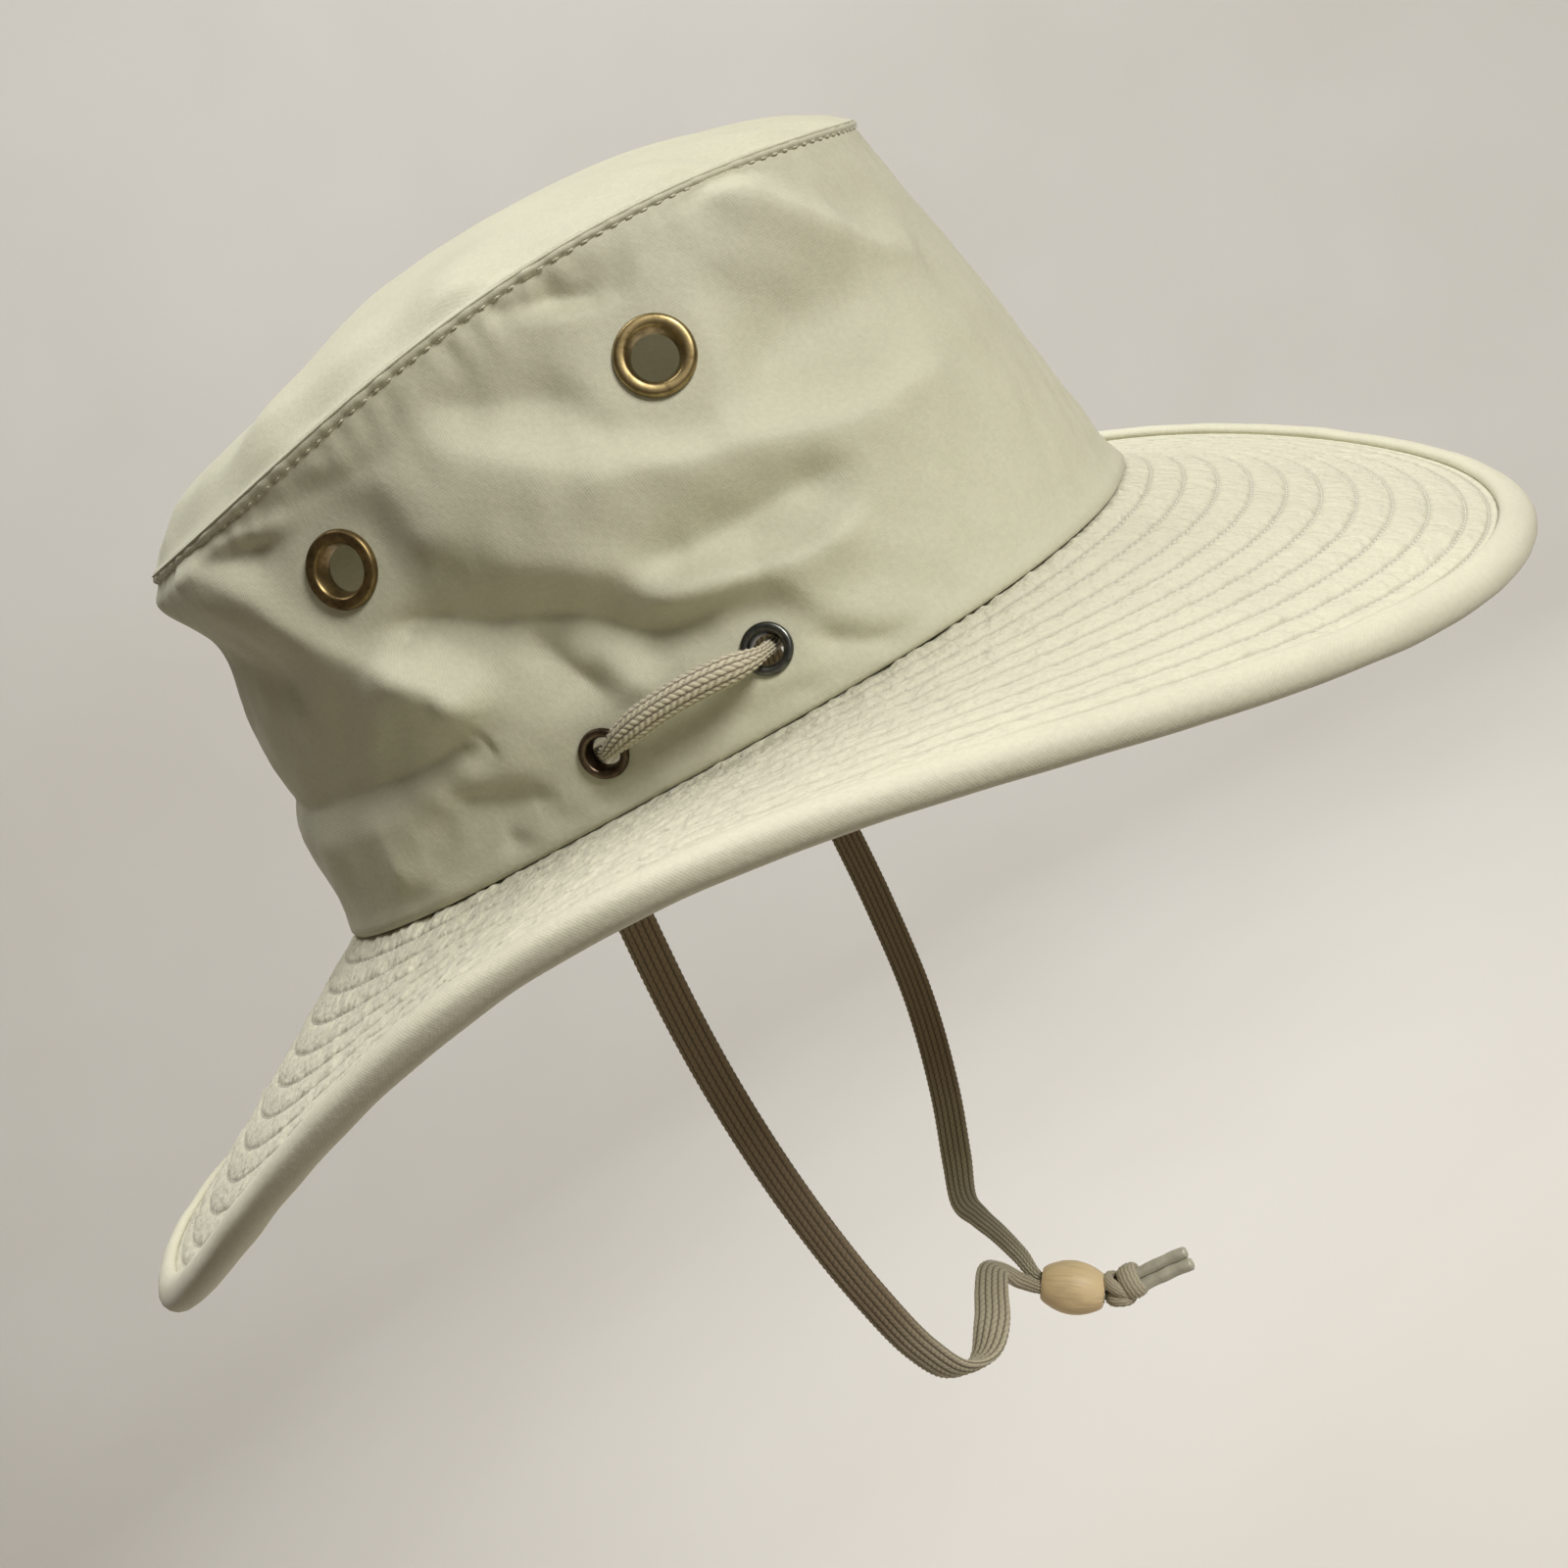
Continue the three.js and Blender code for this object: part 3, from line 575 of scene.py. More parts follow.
# The welt's section, from the groove under the top panel down: depth below the seam and distance out.
WELT_SECTION = (
    (0.1, -0.7), (0.25, 0.35), (0.6, 0.9), (1.15, 1.1), (1.7, 0.9), (2.0, 0.6), (2.3, 0.3), (2.6, 0.0),
    (3.3, -0.8),
)


def thread_finish(name, colour):
    """Twisted polyester thread: fine slanted plies with a slight gloss."""
    material, tree = new_finish(name)
    plies = bands(tree, in_space(tree), 900.0, "DIAGONAL", Distortion=1.0)
    tint = colour_ramp(tree, plies, (0.1, tinted(colour, 0.78)), (0.8, colour))
    face = bumped(tree, plies, 0.4, 0.06)
    finish_shader(tree, Base_Color=tint, Roughness=0.45, Normal=face, Sheen_Weight=0.1)
    return material


def even_angles(place_at, pitch):
    """Angles that divide a closed line into equal lengths of about one pitch."""
    fine = np.linspace(0, math.tau, 4001)
    run = run_along(place_at(fine))
    count = round(run[-1] / pitch)
    return np.interp(np.arange(count) * run[-1] / count, run, fine)


def stitch_row(places, along, up, stitch):
    """The four by three frames of a row of stitches: long way, side, up and place."""
    along = unit(along)
    up = unit(up - (up * along).sum(-1, keepdims=True) * along)
    side = np.cross(up, along)
    halves = [along * stitch["long"] / 2, side * stitch["wide"] / 2, up * stitch["high"] / 2]
    return np.stack([*halves, places], axis=1)


def sew(name, frames, material, slot):
    """Joins one small thread shape, set at every frame, into one piece."""
    bm = bmesh.new()
    bmesh.ops.create_icosphere(bm, subdivisions=1, radius=1)
    shape = np.array([v.co for v in bm.verts])
    faces = np.array([[v.index for v in f.verts] for f in bm.faces])
    bm.free()
    places = np.einsum("vi,nij->nvj", shape, frames[:, :3]) + frames[:, 3:4]
    corners = faces[None] + (np.arange(len(frames)) * len(shape))[:, None, None]
    mesh = bpy.data.meshes.new(name)
    mesh.from_pydata((places.reshape(-1, 3) * MM).tolist(), [], corners.reshape(-1, 3).tolist())
    return add_piece(mesh, material, slot)


def seam_line(angle, below, out):
    """A line of the seam, below its edge by less at the front, where the welt is narrower."""
    below = below * (1 - FRONT_NARROWER * ease(np.cos(angle), -0.4, 0.6))
    return wall(angle, seam_height(angle) - below, np.zeros_like(angle) + out)


def at_needle(effect, below):
    """What the needle holes do along one line of the welt."""
    return effect["much"] * np.exp(-((below - effect["below"]) / effect["spread"]) ** 2) * needle_hole


stitch_angles = even_angles(lambda angle: seam_line(angle, SEAM_STITCH_BELOW, 0.0), SEAM_PITCH)
stitch_count = len(stitch_angles)
stitch_index = np.arange(stitch_count * SEAM_STEPS_PER_STITCH + 1) / SEAM_STEPS_PER_STITCH
stitch_edges = np.append(stitch_angles, math.tau)
welt_angle = np.interp(stitch_index, np.arange(stitch_count + 1), stitch_edges)[None, :]
needle_hole = (0.5 - 0.5 * np.cos(math.tau * stitch_index))[None, :] ** 3
swell = crumple(welt_angle, np.zeros_like(welt_angle), **WELT_CRUMPLE)
welt_places = np.concatenate([
    seam_line(welt_angle, below, out - at_needle(NEEDLE_DIMPLE, below) + swell) for below, out in WELT_SECTION
])
welt_drop = np.array([below for below, out in WELT_SECTION])[:, None]
# The welt's colour takes painted shade at each needle hole.
welt_mesh = cloth_mesh("seam_welt", welt_places, np.degrees(welt_angle) * MM_PER_DEGREE, welt_drop,
                       dulled=at_needle(NEEDLE_SHADE, welt_drop))
seam_welt = add_piece(welt_mesh, canvas, "crown_cloth")
thicken(seam_welt, WELT_THICK)

pale_thread = thread_finish("pale_thread", (0.62, 0.595, 0.46))
middles = seam_line(stitch_angles, SEAM_STITCH_BELOW, SEAM_STITCH_OUT)
ahead = seam_line(stitch_angles + SMALL_TURN, SEAM_STITCH_BELOW, SEAM_STITCH_OUT)
out = raised(outward(TOP, stitch_angles), np.zeros(stitch_count))
sew("seam_stitches", stitch_row(middles, ahead - middles, out, SEAM_STITCH), pale_thread, "crown_cloth")

# Brim: two layers of cotton over a stiff interlining, quilted together by eleven rings of stitching.
# It is sewn under the crown band, dips at the front and back and lies nearly level at the sides.
BRIM = {"half_length": 100.3, "half_width": 85.5, "ahead": 0.0, "left": 0.0, "square": 2.0}
BRIM_WIDTH = {"mean": 82, "cosines": (-5.2, 7.2)}
BRIM_SLOPE = {"mean": 19.2, "cosines": (-1.9, 14.3, 4.1, -3.1), "sines": (1.9, -0.4)}
BRIM_DROP = {"mean": 0, "cosines": (0, 1.9)}
BRIM_HALF = 1.3
BRIM_THINNER = 0.3
BRIM_LEDGE = 1.6
BRIM_TUCK = 5.0
BRIM_STEPS = 715
BRIM_MM_PER_DEGREE = 2.4
BINDING_WIDE = 7.4
# Rows of the mesh from one ring of stitching to the next, as shares of the gap.
OVER_ROWS = (0, 0.06, 0.16, 0.36, 0.64, 0.84, 0.94)
UNDER_ROWS = (0, 0.14, 0.5, 0.86)
QUILT_RINGS = tuple(0.073 + 0.0936 * ring for ring in range(10)) + (0.975,)
PUFF = {"high": 0.32, "power": 0.55}
GROOVE = {"deep": 0.32, "wide": 0.4}
BRIM_PUCKERS = {"seed": 41, "turns": (90, 210), "rates": (-1.2, 1.2), "size": 0.17}
BRIM_CRUMPLE = {"seed": 42, "turns": (30, 90), "rates": (-0.5, 0.5), "size": 0.12}
PUCKERS_FADE = 3.5
# Painted shade in the brim's stitch grooves: how far from each ring of stitching the cloth's colour is
# darkened.
STITCH_SHADE = 0.35
BRIM_COLOUR = (0.62, 0.605, 0.465)


def brim_edge(angle):
    """The brim's outer edge, halfway through its thickness."""
    width, slope = waved(BRIM_WIDTH, angle), np.radians(waved(BRIM_SLOPE, angle))
    drop = waved(BRIM_DROP, angle) + width * np.sin(slope)
    return raised(oval(BRIM, angle) + outward(BRIM, angle) * (width * np.cos(slope))[..., None], -drop)


def brim_root(angle):
    return raised(oval(BASE, angle), base_height(angle) - BRIM_HALF)


def brim_span(angle):
    return np.linalg.norm(brim_edge(angle) - brim_root(angle), axis=-1)


def quilted_span(angle):
    """The width of the brim inside its binding."""
    return brim_span(angle) - BINDING_WIDE


def brim_middle(angle, reach):
    """A point halfway through the brim, reach millimetres down its slope from the crown."""
    return mix(brim_root(angle), brim_edge(angle), reach / brim_span(angle))


def brim_up(angle, reach):
    """The direction out of the brim's upper face."""
    around = brim_middle(angle + SMALL_TURN / 2, reach) - brim_middle(angle - SMALL_TURN / 2, reach)
    return unit(np.cross(brim_edge(angle) - brim_root(angle), around))


def ring_gap(angle, reach):
    """The distance to the nearest ring of stitching, and the place between two rings from 0 to 1."""
    quilted = quilted_span(angle)
    rings = np.array((-0.02,) + QUILT_RINGS + (1.02,))
    share = np.clip(reach / quilted, rings[0], rings[-1])
    outer = np.clip(np.searchsorted(rings, share), 1, len(rings) - 1)
    width = rings[outer] - rings[outer - 1]
    between = (share - rings[outer - 1]) / width
    return np.minimum(between, 1 - between) * width * quilted, between


def brim_lift(angle, reach):
    """Half the brim's thickness: the quilted channels swell and each ring of stitching draws them in."""
    gap, between = ring_gap(angle, reach)
    past = reach - quilted_span(angle)
    groove = GROOVE["deep"] * np.exp(-gap / GROOVE["wide"])
    puff = PUFF["high"] * np.clip(4 * between * (1 - between), 0, 1) ** PUFF["power"]
    puckers = crumple(angle, reach, **BRIM_PUCKERS) * np.exp(-gap / PUCKERS_FADE)
    uneven = (crumple(angle, reach, **BRIM_CRUMPLE) + puckers) * (1 - ease(past, -5, -1))
    relief = (puff - groove + uneven * ease(gap, 0, 1.2)) * (1 - ease(past, -0.5, 1.0))
    return BRIM_HALF - BRIM_THINNER + relief


angle_table = np.linspace(0, math.tau, BRIM_STEPS + 1)[None, :]
quilted = quilted_span(angle_table)
brim_places, brim_across, stitch_shade = [], [], []
for between_rings, side in ((OVER_ROWS, 1), (UNDER_ROWS, -1)):
    rings = (0.0,) + QUILT_RINGS + (1.0,)
    gaps = zip(rings, rings[1:])
    shares = [inner + (outer - inner) * row for inner, outer in gaps for row in between_rings]
    reach = [np.full_like(quilted, -BRIM_LEDGE), np.array(shares)[:, None] * quilted]
    reach = np.concatenate([*reach, quilted + 0.2, quilted + BRIM_TUCK])[::side]
    angle_rows = np.broadcast_to(angle_table, reach.shape)
    lift = side * brim_lift(angle_rows, reach)
    brim_places.append(brim_middle(angle_rows, reach) + brim_up(angle_rows, reach) * lift[..., None])
    brim_across.append(reach * side)
    # Painted shade along each ring of stitching, kept for the cloth's colour.
    stitch_shade.append(np.exp(-(ring_gap(angle_rows, reach)[0] / STITCH_SHADE) ** 2))
brim_cotton = proofed_cotton("brim_cotton", BRIM_COLOUR, thread=0.42, slant=45, rough=0.7, pucker=1.0)
brim_places, brim_across, stitch_shade = (
    ringed(np.concatenate(table)) for table in (brim_places, brim_across, stitch_shade)
)
brim_mesh = cloth_mesh("quilted_brim", brim_places, np.degrees(angle_table) * BRIM_MM_PER_DEGREE, brim_across,
                       dulled=stitch_shade)
quilted_brim = add_piece(brim_mesh, brim_cotton, "brim_cloth", "brim")

# Quilting thread: lockstitch in pale thread along each ring of the brim, the same on both faces.
# Each stitch lies in its groove and dips at the needle holes.
QUILT_PITCH = 2.3
QUILT_STITCH = {"long": 1.65, "wide": 0.46, "high": 0.4}
QUILT_DEPTH = 0.02
QUILT_TURN = 0.004


def ring_middle(angle, ring):
    """A point of a ring of stitching, halfway through the brim."""
    return brim_middle(angle, quilted_span(angle) * ring)


quilting_thread = thread_finish("quilting_thread", (0.76, 0.74, 0.62))
for face, side in (("over", 1), ("under", -1)):
    rings = []
    for ring in QUILT_RINGS:
        turns = even_angles(lambda angle: ring_middle(angle, ring), QUILT_PITCH)
        reach = quilted_span(turns) * ring
        up = brim_up(turns, reach) * side
        lift = brim_lift(turns, reach) + QUILT_DEPTH
        middles = ring_middle(turns, ring)
        along = ring_middle(turns + QUILT_TURN, ring) - middles
        rings.append(stitch_row(middles + up * lift[:, None], along, up, QUILT_STITCH))
    sew(f"quilting_{face}", np.concatenate(rings), quilting_thread, "brim_cloth")

# Binding: a bias strip of twill folded over the brim's raw edge and filled into a smooth round roll.
# Its two lips close on the brim just outside the last ring of stitching.
BINDING_STEPS = 600
BINDING_CRUMPLE = {"seed": 51, "turns": (12, 60), "rates": (0, 1), "size": 0.02}
# The folded strip's section: distance in from the outer edge, and height over the brim's middle.
BINDING_OUTSIDE = (
    (7.4, 1.2), (7.55, 2.1), (7.1, 3.0), (5.8, 3.5), (3.9, 3.45), (2.3, 2.95), (1.0, 2.2), (0.25, 1.2),
)
BINDING_INSIDE = ((2.0, 0.5), (2.3, 1.15), (5.0, 1.25))


def underside(section):
    """The same stretch of the section below the brim, in the opposite order."""
    return tuple((inward, -lift) for inward, lift in reversed(section))


outside = BINDING_OUTSIDE + ((0.0, 0.0),) + underside(BINDING_OUTSIDE)
section = np.array(outside + underside(BINDING_INSIDE) + BINDING_INSIDE)
angle_table = np.linspace(0, math.tau, BINDING_STEPS + 1)
span = brim_span(angle_table)
swell = 1 + crumple(angle_table, np.zeros_like(angle_table), **BINDING_CRUMPLE)
edge_up = brim_up(angle_table, span)
binding_places = np.stack([
    brim_middle(angle_table, span - inward) + edge_up * (lift * swell)[:, None] for inward, lift in section
])
binding_twill = proofed_cotton("binding_twill", BRIM_COLOUR, thread=0.5, slant=40, rough=0.6)
lengthwise = run_along(brim_edge(angle_table))[None, :]
across = run_along(ringed(section))[:, None]
binding_mesh = cloth_mesh("edge_binding", ringed(binding_places), lengthwise, across)
edge_binding = add_piece(binding_mesh, binding_twill, "binding_cloth", "brim_binding")

# Eyelets: four antique brass vents high on the crown and four small dark ones for the chin cord.
# Each is a turned ring with a domed flange, pressed through the cloth and rolled over a washer inside.
EYELET_STEPS = 72


def eyelet_section(shape):
    """The ring's section, as distance from the axis and height over the cloth."""
    outer, bore, crest, washer = shape["outer"], shape["bore"], shape["crest"], shape["washer"]
    flange = outer - bore
    return (
        (outer - 0.1, 0.02), (outer, 0.3 * crest), (outer - 0.06 * flange, 0.7 * crest),
        (outer - 0.14 * flange, 0.92 * crest), (outer - 0.28 * flange, crest),
        (outer - 0.6 * flange, 0.98 * crest), (outer - 0.7 * flange, 0.88 * crest),
        (outer - 0.78 * flange, 0.62 * crest),
        (outer - 0.88 * flange, 0.1 * crest), (bore + 0.06 * flange, -0.45 * crest), (bore, -1.4),
        (bore, -2.2), (bore + 0.15, -2.8), (bore + 0.8, -3.05), (washer - 0.5, -2.85), (washer, -2.5),
        (washer, -1.95), (washer - 0.3, -1.75), (bore + 0.75, -1.75), (bore + 0.5, -1.0), (bore + 0.6, -0.1),
    )


def aged_metal(name, bright, dull, rough):
    """Old plated brass: tarnish lies in patches and wear has polished it unevenly."""
    material, tree = new_finish(name)
    place = in_space(tree)
    tarnish = noise(tree, place, 320.0, 6.0, Roughness=0.65)
    tint = colour_ramp(tree, tarnish, (0.34, dull), (0.62, bright))
    worn = add_node(tree, "ShaderNodeMapRange", "Result", {
        "Value": tarnish, "From Min": 0.3, "From Max": 0.7, "To Min": rough + 0.14, "To Max": rough,
    })
    specks = bumped(tree, noise(tree, place, 2600.0, 2.0), 0.12, 0.05)
    finish_shader(tree, Base_Color=tint, Metallic=1.0, Roughness=worn, Normal=specks)
    return material


def turned(middle, axis, aside, section, steps):
    """A section of distances out and along, turned round an axis."""
    turn = np.linspace(0, math.tau, steps + 1)[None, :, None]
    spoke = aside * np.cos(turn) + np.cross(axis, aside) * np.sin(turn)
    return middle + spoke * section[:, None, :1] + axis * section[:, None, 1:]


METALS = {
    "vent_front": aged_metal("antique_brass", (0.42, 0.325, 0.155), (0.17, 0.125, 0.055), 0.33),
    # The rear vents' brass is a darker copy of the front vents' brass: painted shade, for they face away from
    # the light.
    "vent_back": aged_metal("shade_painted_brass", (0.27, 0.195, 0.088), (0.11, 0.078, 0.034), 0.34),
    "cord_eyelet_front": aged_metal("gunmetal", (0.16, 0.165, 0.15), (0.05, 0.052, 0.045), 0.3),
    "cord_eyelet_back": aged_metal("dark_brass", (0.17, 0.125, 0.085), (0.06, 0.04, 0.026), 0.3),
}
for name, (middle, axis) in seats.items():
    section = np.array(eyelet_section(EYELETS[name]))
    ring_places = turned(middle, axis, unit(np.cross(axis, (0, 0, 1.0))), section, EYELET_STEPS)
    ring_mesh = cloth_mesh(f"{name}_ring", ringed(ring_places))
    kind = name.rsplit("_", 1)[0]
    add_piece(ring_mesh, METALS[kind], "brass" if name.startswith("vent") else "dark_brass", name)

# Chin cord: one braid of twelve plaited columns to each side, round where it passes outside the crown.
# Below the brim it lies flat as a strap, and both ends run through the bead.
# Each row is a place x, y and z, the section's wide and thick, and around and down, the direction in
# degrees that its flat faces.
STRAND_TOP = (
    (43.8, -63.6, 15.2, 4, 4, -90, 0), (42.6, -69.2, 15.4, 3.2, 3.2, -90, 0),
    (41.9, -73.3, 15.6, 2.7, 2.7, -90, 0), (41, -79.3, 15.9, 2.7, 2.7, -90, 0),
    (39.2, -82.8, 16.4, 4.2, 4.2, -90, 0), (36.2, -85.4, 17.1, 5.7, 5.7, -90, 0),
    (32, -86.8, 17.6, 5.9, 5.9, -90, 0), (27, -87.4, 17.8, 5.9, 5.9, -90, 0),
    (21.5, -87.4, 17.6, 5.9, 5.9, -90, 0), (16, -87, 17, 5.9, 5.9, -90, 0),
    (11, -86.1, 16, 5.0, 5.0, -90, 0), (5.9, -83.8, 14.4, 2.6, 2.6, -90, 0),
    (2.6, -78.4, 13.9, 2.7, 2.7, -90, 0), (-0.6, -75, 12.9, 3.6, 3.2, -90, 0),
    (-4.4, -73, 10, 5, 3, -90, 0), (-8.6, -71.6, 4, 7, 2.6, -90, 0),
    (-12.6, -71.2, -9, 8.4, 2.4, -90, 0), (-16, -71, -28, 8.6, 2.4, -90, 0),
)
STRAND_RIGHT = (
    (-19, -70.5, -53, 8.6, 2.4, -90, 0), (-20.4, -69.4, -76, 8.6, 2.4, -90, 2),
    (-20.9, -67, -98, 8.6, 2.4, -90, 6), (-20.8, -63.2, -118.6, 8.6, 2.4, -90, 14),
    (-20.2, -57.4, -138.2, 8.6, 2.4, -90, 26), (-18.4, -51, -149.6, 8.6, 2.4, -92, 44),
    (-14.8, -43.8, -153, 8.6, 2.4, -110, 72), (-11.9, -36, -149.8, 8.4, 2.4, 175, 62),
    (-11.5, -28, -147, 8, 2.4, 160, 56), (-11.9, -20, -146.6, 7.4, 2.4, 150, 50),
    (-12.6, -13, -151.4, 6.2, 2.6, 150, 40), (-12.8, -7, -157.8, 4.2, 3, 150, 30),
)
STRAND_LEFT = (
    (-19, 74.5, -53, 8.6, 2.4, 90, 0), (-21, 71.5, -80, 8.6, 2.4, 90, 4),
    (-24, 66.5, -108, 8.6, 2.4, 90, 12), (-29, 59, -132, 8.6, 2.4, 92, 24),
    (-33, 50, -147.5, 8.6, 2.4, 96, 44), (-33.5, 40, -154.6, 7.4, 2.5, 110, 66),
    (-28, 29.5, -156, 5.8, 2.7, 130, 70), (-21.6, 19, -157.4, 5.0, 2.9, 140, 66),
    (-16, 9.4, -160, 4.4, 3, 150, 60),
)
STRAND_TOP_LEFT = 5.0
BEAD_START = np.array([-11.2, 0, -164.4])
BEAD_AXIS = unit(np.array([0.83, 0, -0.56]))
STRAND_SHIFT = 1.9
STRAND_IN_BEAD = {"along": (-0.5, 7.6, 15.5), "round": 3.0, "around": 150, "down": 30}
STRAP_THICK = 2.4
ROUTE_STEPS = 40
BRAID_COLUMNS = 12
BRAID_PITCH = 1.5
BRAID_SIDES = 60
BRAID_STEP = 0.34
BRAID_ROUND = 17.3
BRAID_RELIEF = 0.42
# How far the picks stand out, for a flat strap and for a round cord: thick to wide, and share.
BRAID_BOLD = ((0.3, 0.65), (0.9, 0.85))
# The strap is darker between these heights below the crown's lower edge.
DARKENED = {"from": (-8, 12), "to": (120, 150)}


def bead_rows(side):
    """The strand's rows inside the bead, and just out of its far end."""
    rows = []
    for along in STRAND_IN_BEAD["along"]:
        x, y, z = BEAD_START + BEAD_AXIS * along
        section = (STRAND_IN_BEAD["round"], STRAND_IN_BEAD["round"])
        rows.append((x, side * STRAND_SHIFT, z, *section, STRAND_IN_BEAD["around"], STRAND_IN_BEAD["down"]))
    return tuple(rows)


def on_left(rows):
    """The same rows, mirrored to the left side."""
    return tuple(
        (x, STRAND_TOP_LEFT - y, z, wide, thick, -around, down) for x, y, z, wide, thick, around, down in rows
    )


def timed_mix(start, end, first, last, at):
    """The place at a time on the way between two places, each with its own time."""
    return (last - at) / (last - first) * start + (at - first) / (last - first) * end


def smooth_route(points, values):
    """A centripetal curve through the points, evenly spaced, with each point's values carried along it."""
    padded = np.concatenate([[2 * points[0] - points[1]], points, [2 * points[-1] - points[-2]]])
    knots = np.concatenate([[0], np.cumsum(np.linalg.norm(np.diff(padded, axis=0), axis=1) ** 0.5)])
    fine_points, fine_shares = [], []
    for i in range(1, len(padded) - 2):
        p0, p1, p2, p3 = padded[i - 1:i + 3]
        t0, t1, t2, t3 = knots[i - 1:i + 3]
        t = np.linspace(t1, t2, ROUTE_STEPS, endpoint=False)[:, None]
        a1 = timed_mix(p0, p1, t0, t1, t)
        a2 = timed_mix(p1, p2, t1, t2, t)
        a3 = timed_mix(p2, p3, t2, t3, t)
        b1 = timed_mix(a1, a2, t0, t2, t)
        b2 = timed_mix(a2, a3, t1, t3, t)
        fine_points.append(timed_mix(b1, b2, t1, t2, t))
        fine_shares.append(np.linspace(i - 1, i, ROUTE_STEPS, endpoint=False))
    fine_points = np.concatenate([*fine_points, points[-1:]])
    fine_shares = np.append(np.concatenate(fine_shares), len(points) - 1)
    run = run_along(fine_points)
    stops = np.linspace(0, run[-1], round(run[-1] / BRAID_STEP) + 1)
    shares = np.interp(stops, run, fine_shares)
    route = np.stack([np.interp(stops, run, column) for column in fine_points.T], axis=1)
    carried = [np.interp(shares, np.arange(len(points)), column) for column in values.T]
    return stops, route, np.stack(carried, axis=1)


def section_turns(flatness):
    """Angles that divide a flattened round section into equal lengths of outline."""
    fine = np.linspace(0, math.tau, 361)
    run = run_along(np.stack([np.cos(fine), flatness * np.sin(fine)], axis=1))
    return np.interp(np.linspace(0, run[-1], BRAID_SIDES, endpoint=False), run, fine)


def plait(column, run, bold):
    """The height of the braid across its columns and along its run: slanted picks, bold on a round cord."""
    within = column % 1 - 0.5
    slant = np.where(np.floor(column) % 2 == 0, 1.0, -1.0)
    pick = run / BRAID_PITCH + 0.25 * slant + slant * within * 0.9
    rib = np.cos(np.pi * within) ** 0.6
    grain = (0.5 + 0.5 * np.cos(math.tau * pick)) ** 0.55
    return rib * (1 - bold + bold * grain)


def braided_tube(name, route, run, wide, thick, face, grime, bulge=BRAID_RELIEF, closed=False):
    """A braided tube along a route, with a flattened section that faces the way it is told.
    closed is for a turn that meets its own start."""
    step = np.gradient(route, axis=0)
    if closed:
        step[0] = step[-1] = route[1] - route[-2]
    tangent = unit(step)
    face = unit(face - (face * tangent).sum(-1, keepdims=True) * tangent)
    side = np.cross(face, tangent)
    turns = np.stack([section_turns(flatness) for flatness in thick / wide])
    bold = np.interp(thick / wide, *np.transpose(BRAID_BOLD))[:, None]
    wide, thick = wide[:, None], thick[:, None]
    across, through = np.cos(turns), np.sin(turns)
    normal = unit(np.stack([across / wide, through / thick], axis=-1))
    column = np.arange(BRAID_SIDES)[None, :] * BRAID_COLUMNS / BRAID_SIDES + 0.5 / BRAID_SIDES
    height = plait(column, run[:, None], bold)
    relief = bulge * np.minimum(1, thick / STRAP_THICK) * (height - 0.55)
    x = across * wide / 2 + normal[..., 0] * relief
    y = through * thick / 2 + normal[..., 1] * relief
    places = route[:, None] + side[:, None] * x[..., None] + face[:, None] * y[..., None]
    # Painted shade between the picks: the deeper a place lies between them, the darker its colour.
    hollow = ease(0.6 - height, 0, 0.6) * bulge / BRAID_RELIEF
    around = np.linspace(0, BRAID_ROUND, BRAID_SIDES + 1)[:, None]
    return cloth_mesh(name, ringed(places.swapaxes(0, 1)), around, run, capped=not closed, grime=grime,
                      hollow=ringed(hollow.T))


def braid_finish(name, pale_tone, worn):
    """Plaited cotton cord: fine fibres, painted shade between the picks, rubbed patches of the darker tone,
    and darker along a span of the strap.
    """
    material, tree = new_finish(name)
    fibres = noise(tree, in_space(tree), 2400.0, 3.0)
    patches = noise(tree, on_cloth(tree), 60.0, 3.0)
    rubbed = colour_ramp(tree, patches, (0.35, (0.0, 0.0, 0.0)), (0.7, (0.28, 0.28, 0.28)))
    # Darker along a span of the strap: the kept value moves the colour from the pale tone to the darker one.
    tint = blended(tree, kept_value(tree, "grime"), (*pale_tone, 1), (*worn, 1))
    tint = blended(tree, rubbed, tint, (*worn, 1))
    # Painted shade between the picks: the colour drops to 0.3 of the darker tone.
    tint = blended(tree, kept_value(tree, "hollow"), tint, (*tinted(worn, 0.3), 1))
    face = bumped(tree, fibres, 0.5, 0.1)
    finish_shader(tree, Base_Color=tint, Roughness=0.72, Normal=face, Sheen_Weight=0.15,
                  Sheen_Roughness=0.5, Specular_IOR_Level=0.25)
    return material


braid = braid_finish("braided_cord", (0.62, 0.57, 0.42), (0.33, 0.26, 0.165))
strand_rows = {"right": STRAND_TOP + STRAND_RIGHT, "left": on_left(STRAND_TOP) + STRAND_LEFT}
for name, side in (("right", -1), ("left", 1)):
    rows = strand_rows[name]
    x, y, z, wide, thick, around, down = np.array(rows + bead_rows(side), float).T
    around, down = np.radians(around), np.radians(down)
    faces = (np.cos(down) * np.cos(around), np.cos(down) * np.sin(around), -np.sin(down))
    run, route, carried = smooth_route(np.stack([x, y, z], axis=1), np.stack([wide, thick, *faces], axis=1))
    wide, thick, face = carried[:, 0], carried[:, 1], carried[:, 2:]
    drop = -route[:, 2]
    darkened = ease(drop, *DARKENED["from"]) * (1 - ease(drop, *DARKENED["to"]))
    mesh = braided_tube(f"braided_cord_{name}", route, run, wide, thick, face, darkened)
    piece = add_piece(mesh, braid, "braid", f"chin_cord_{name}")

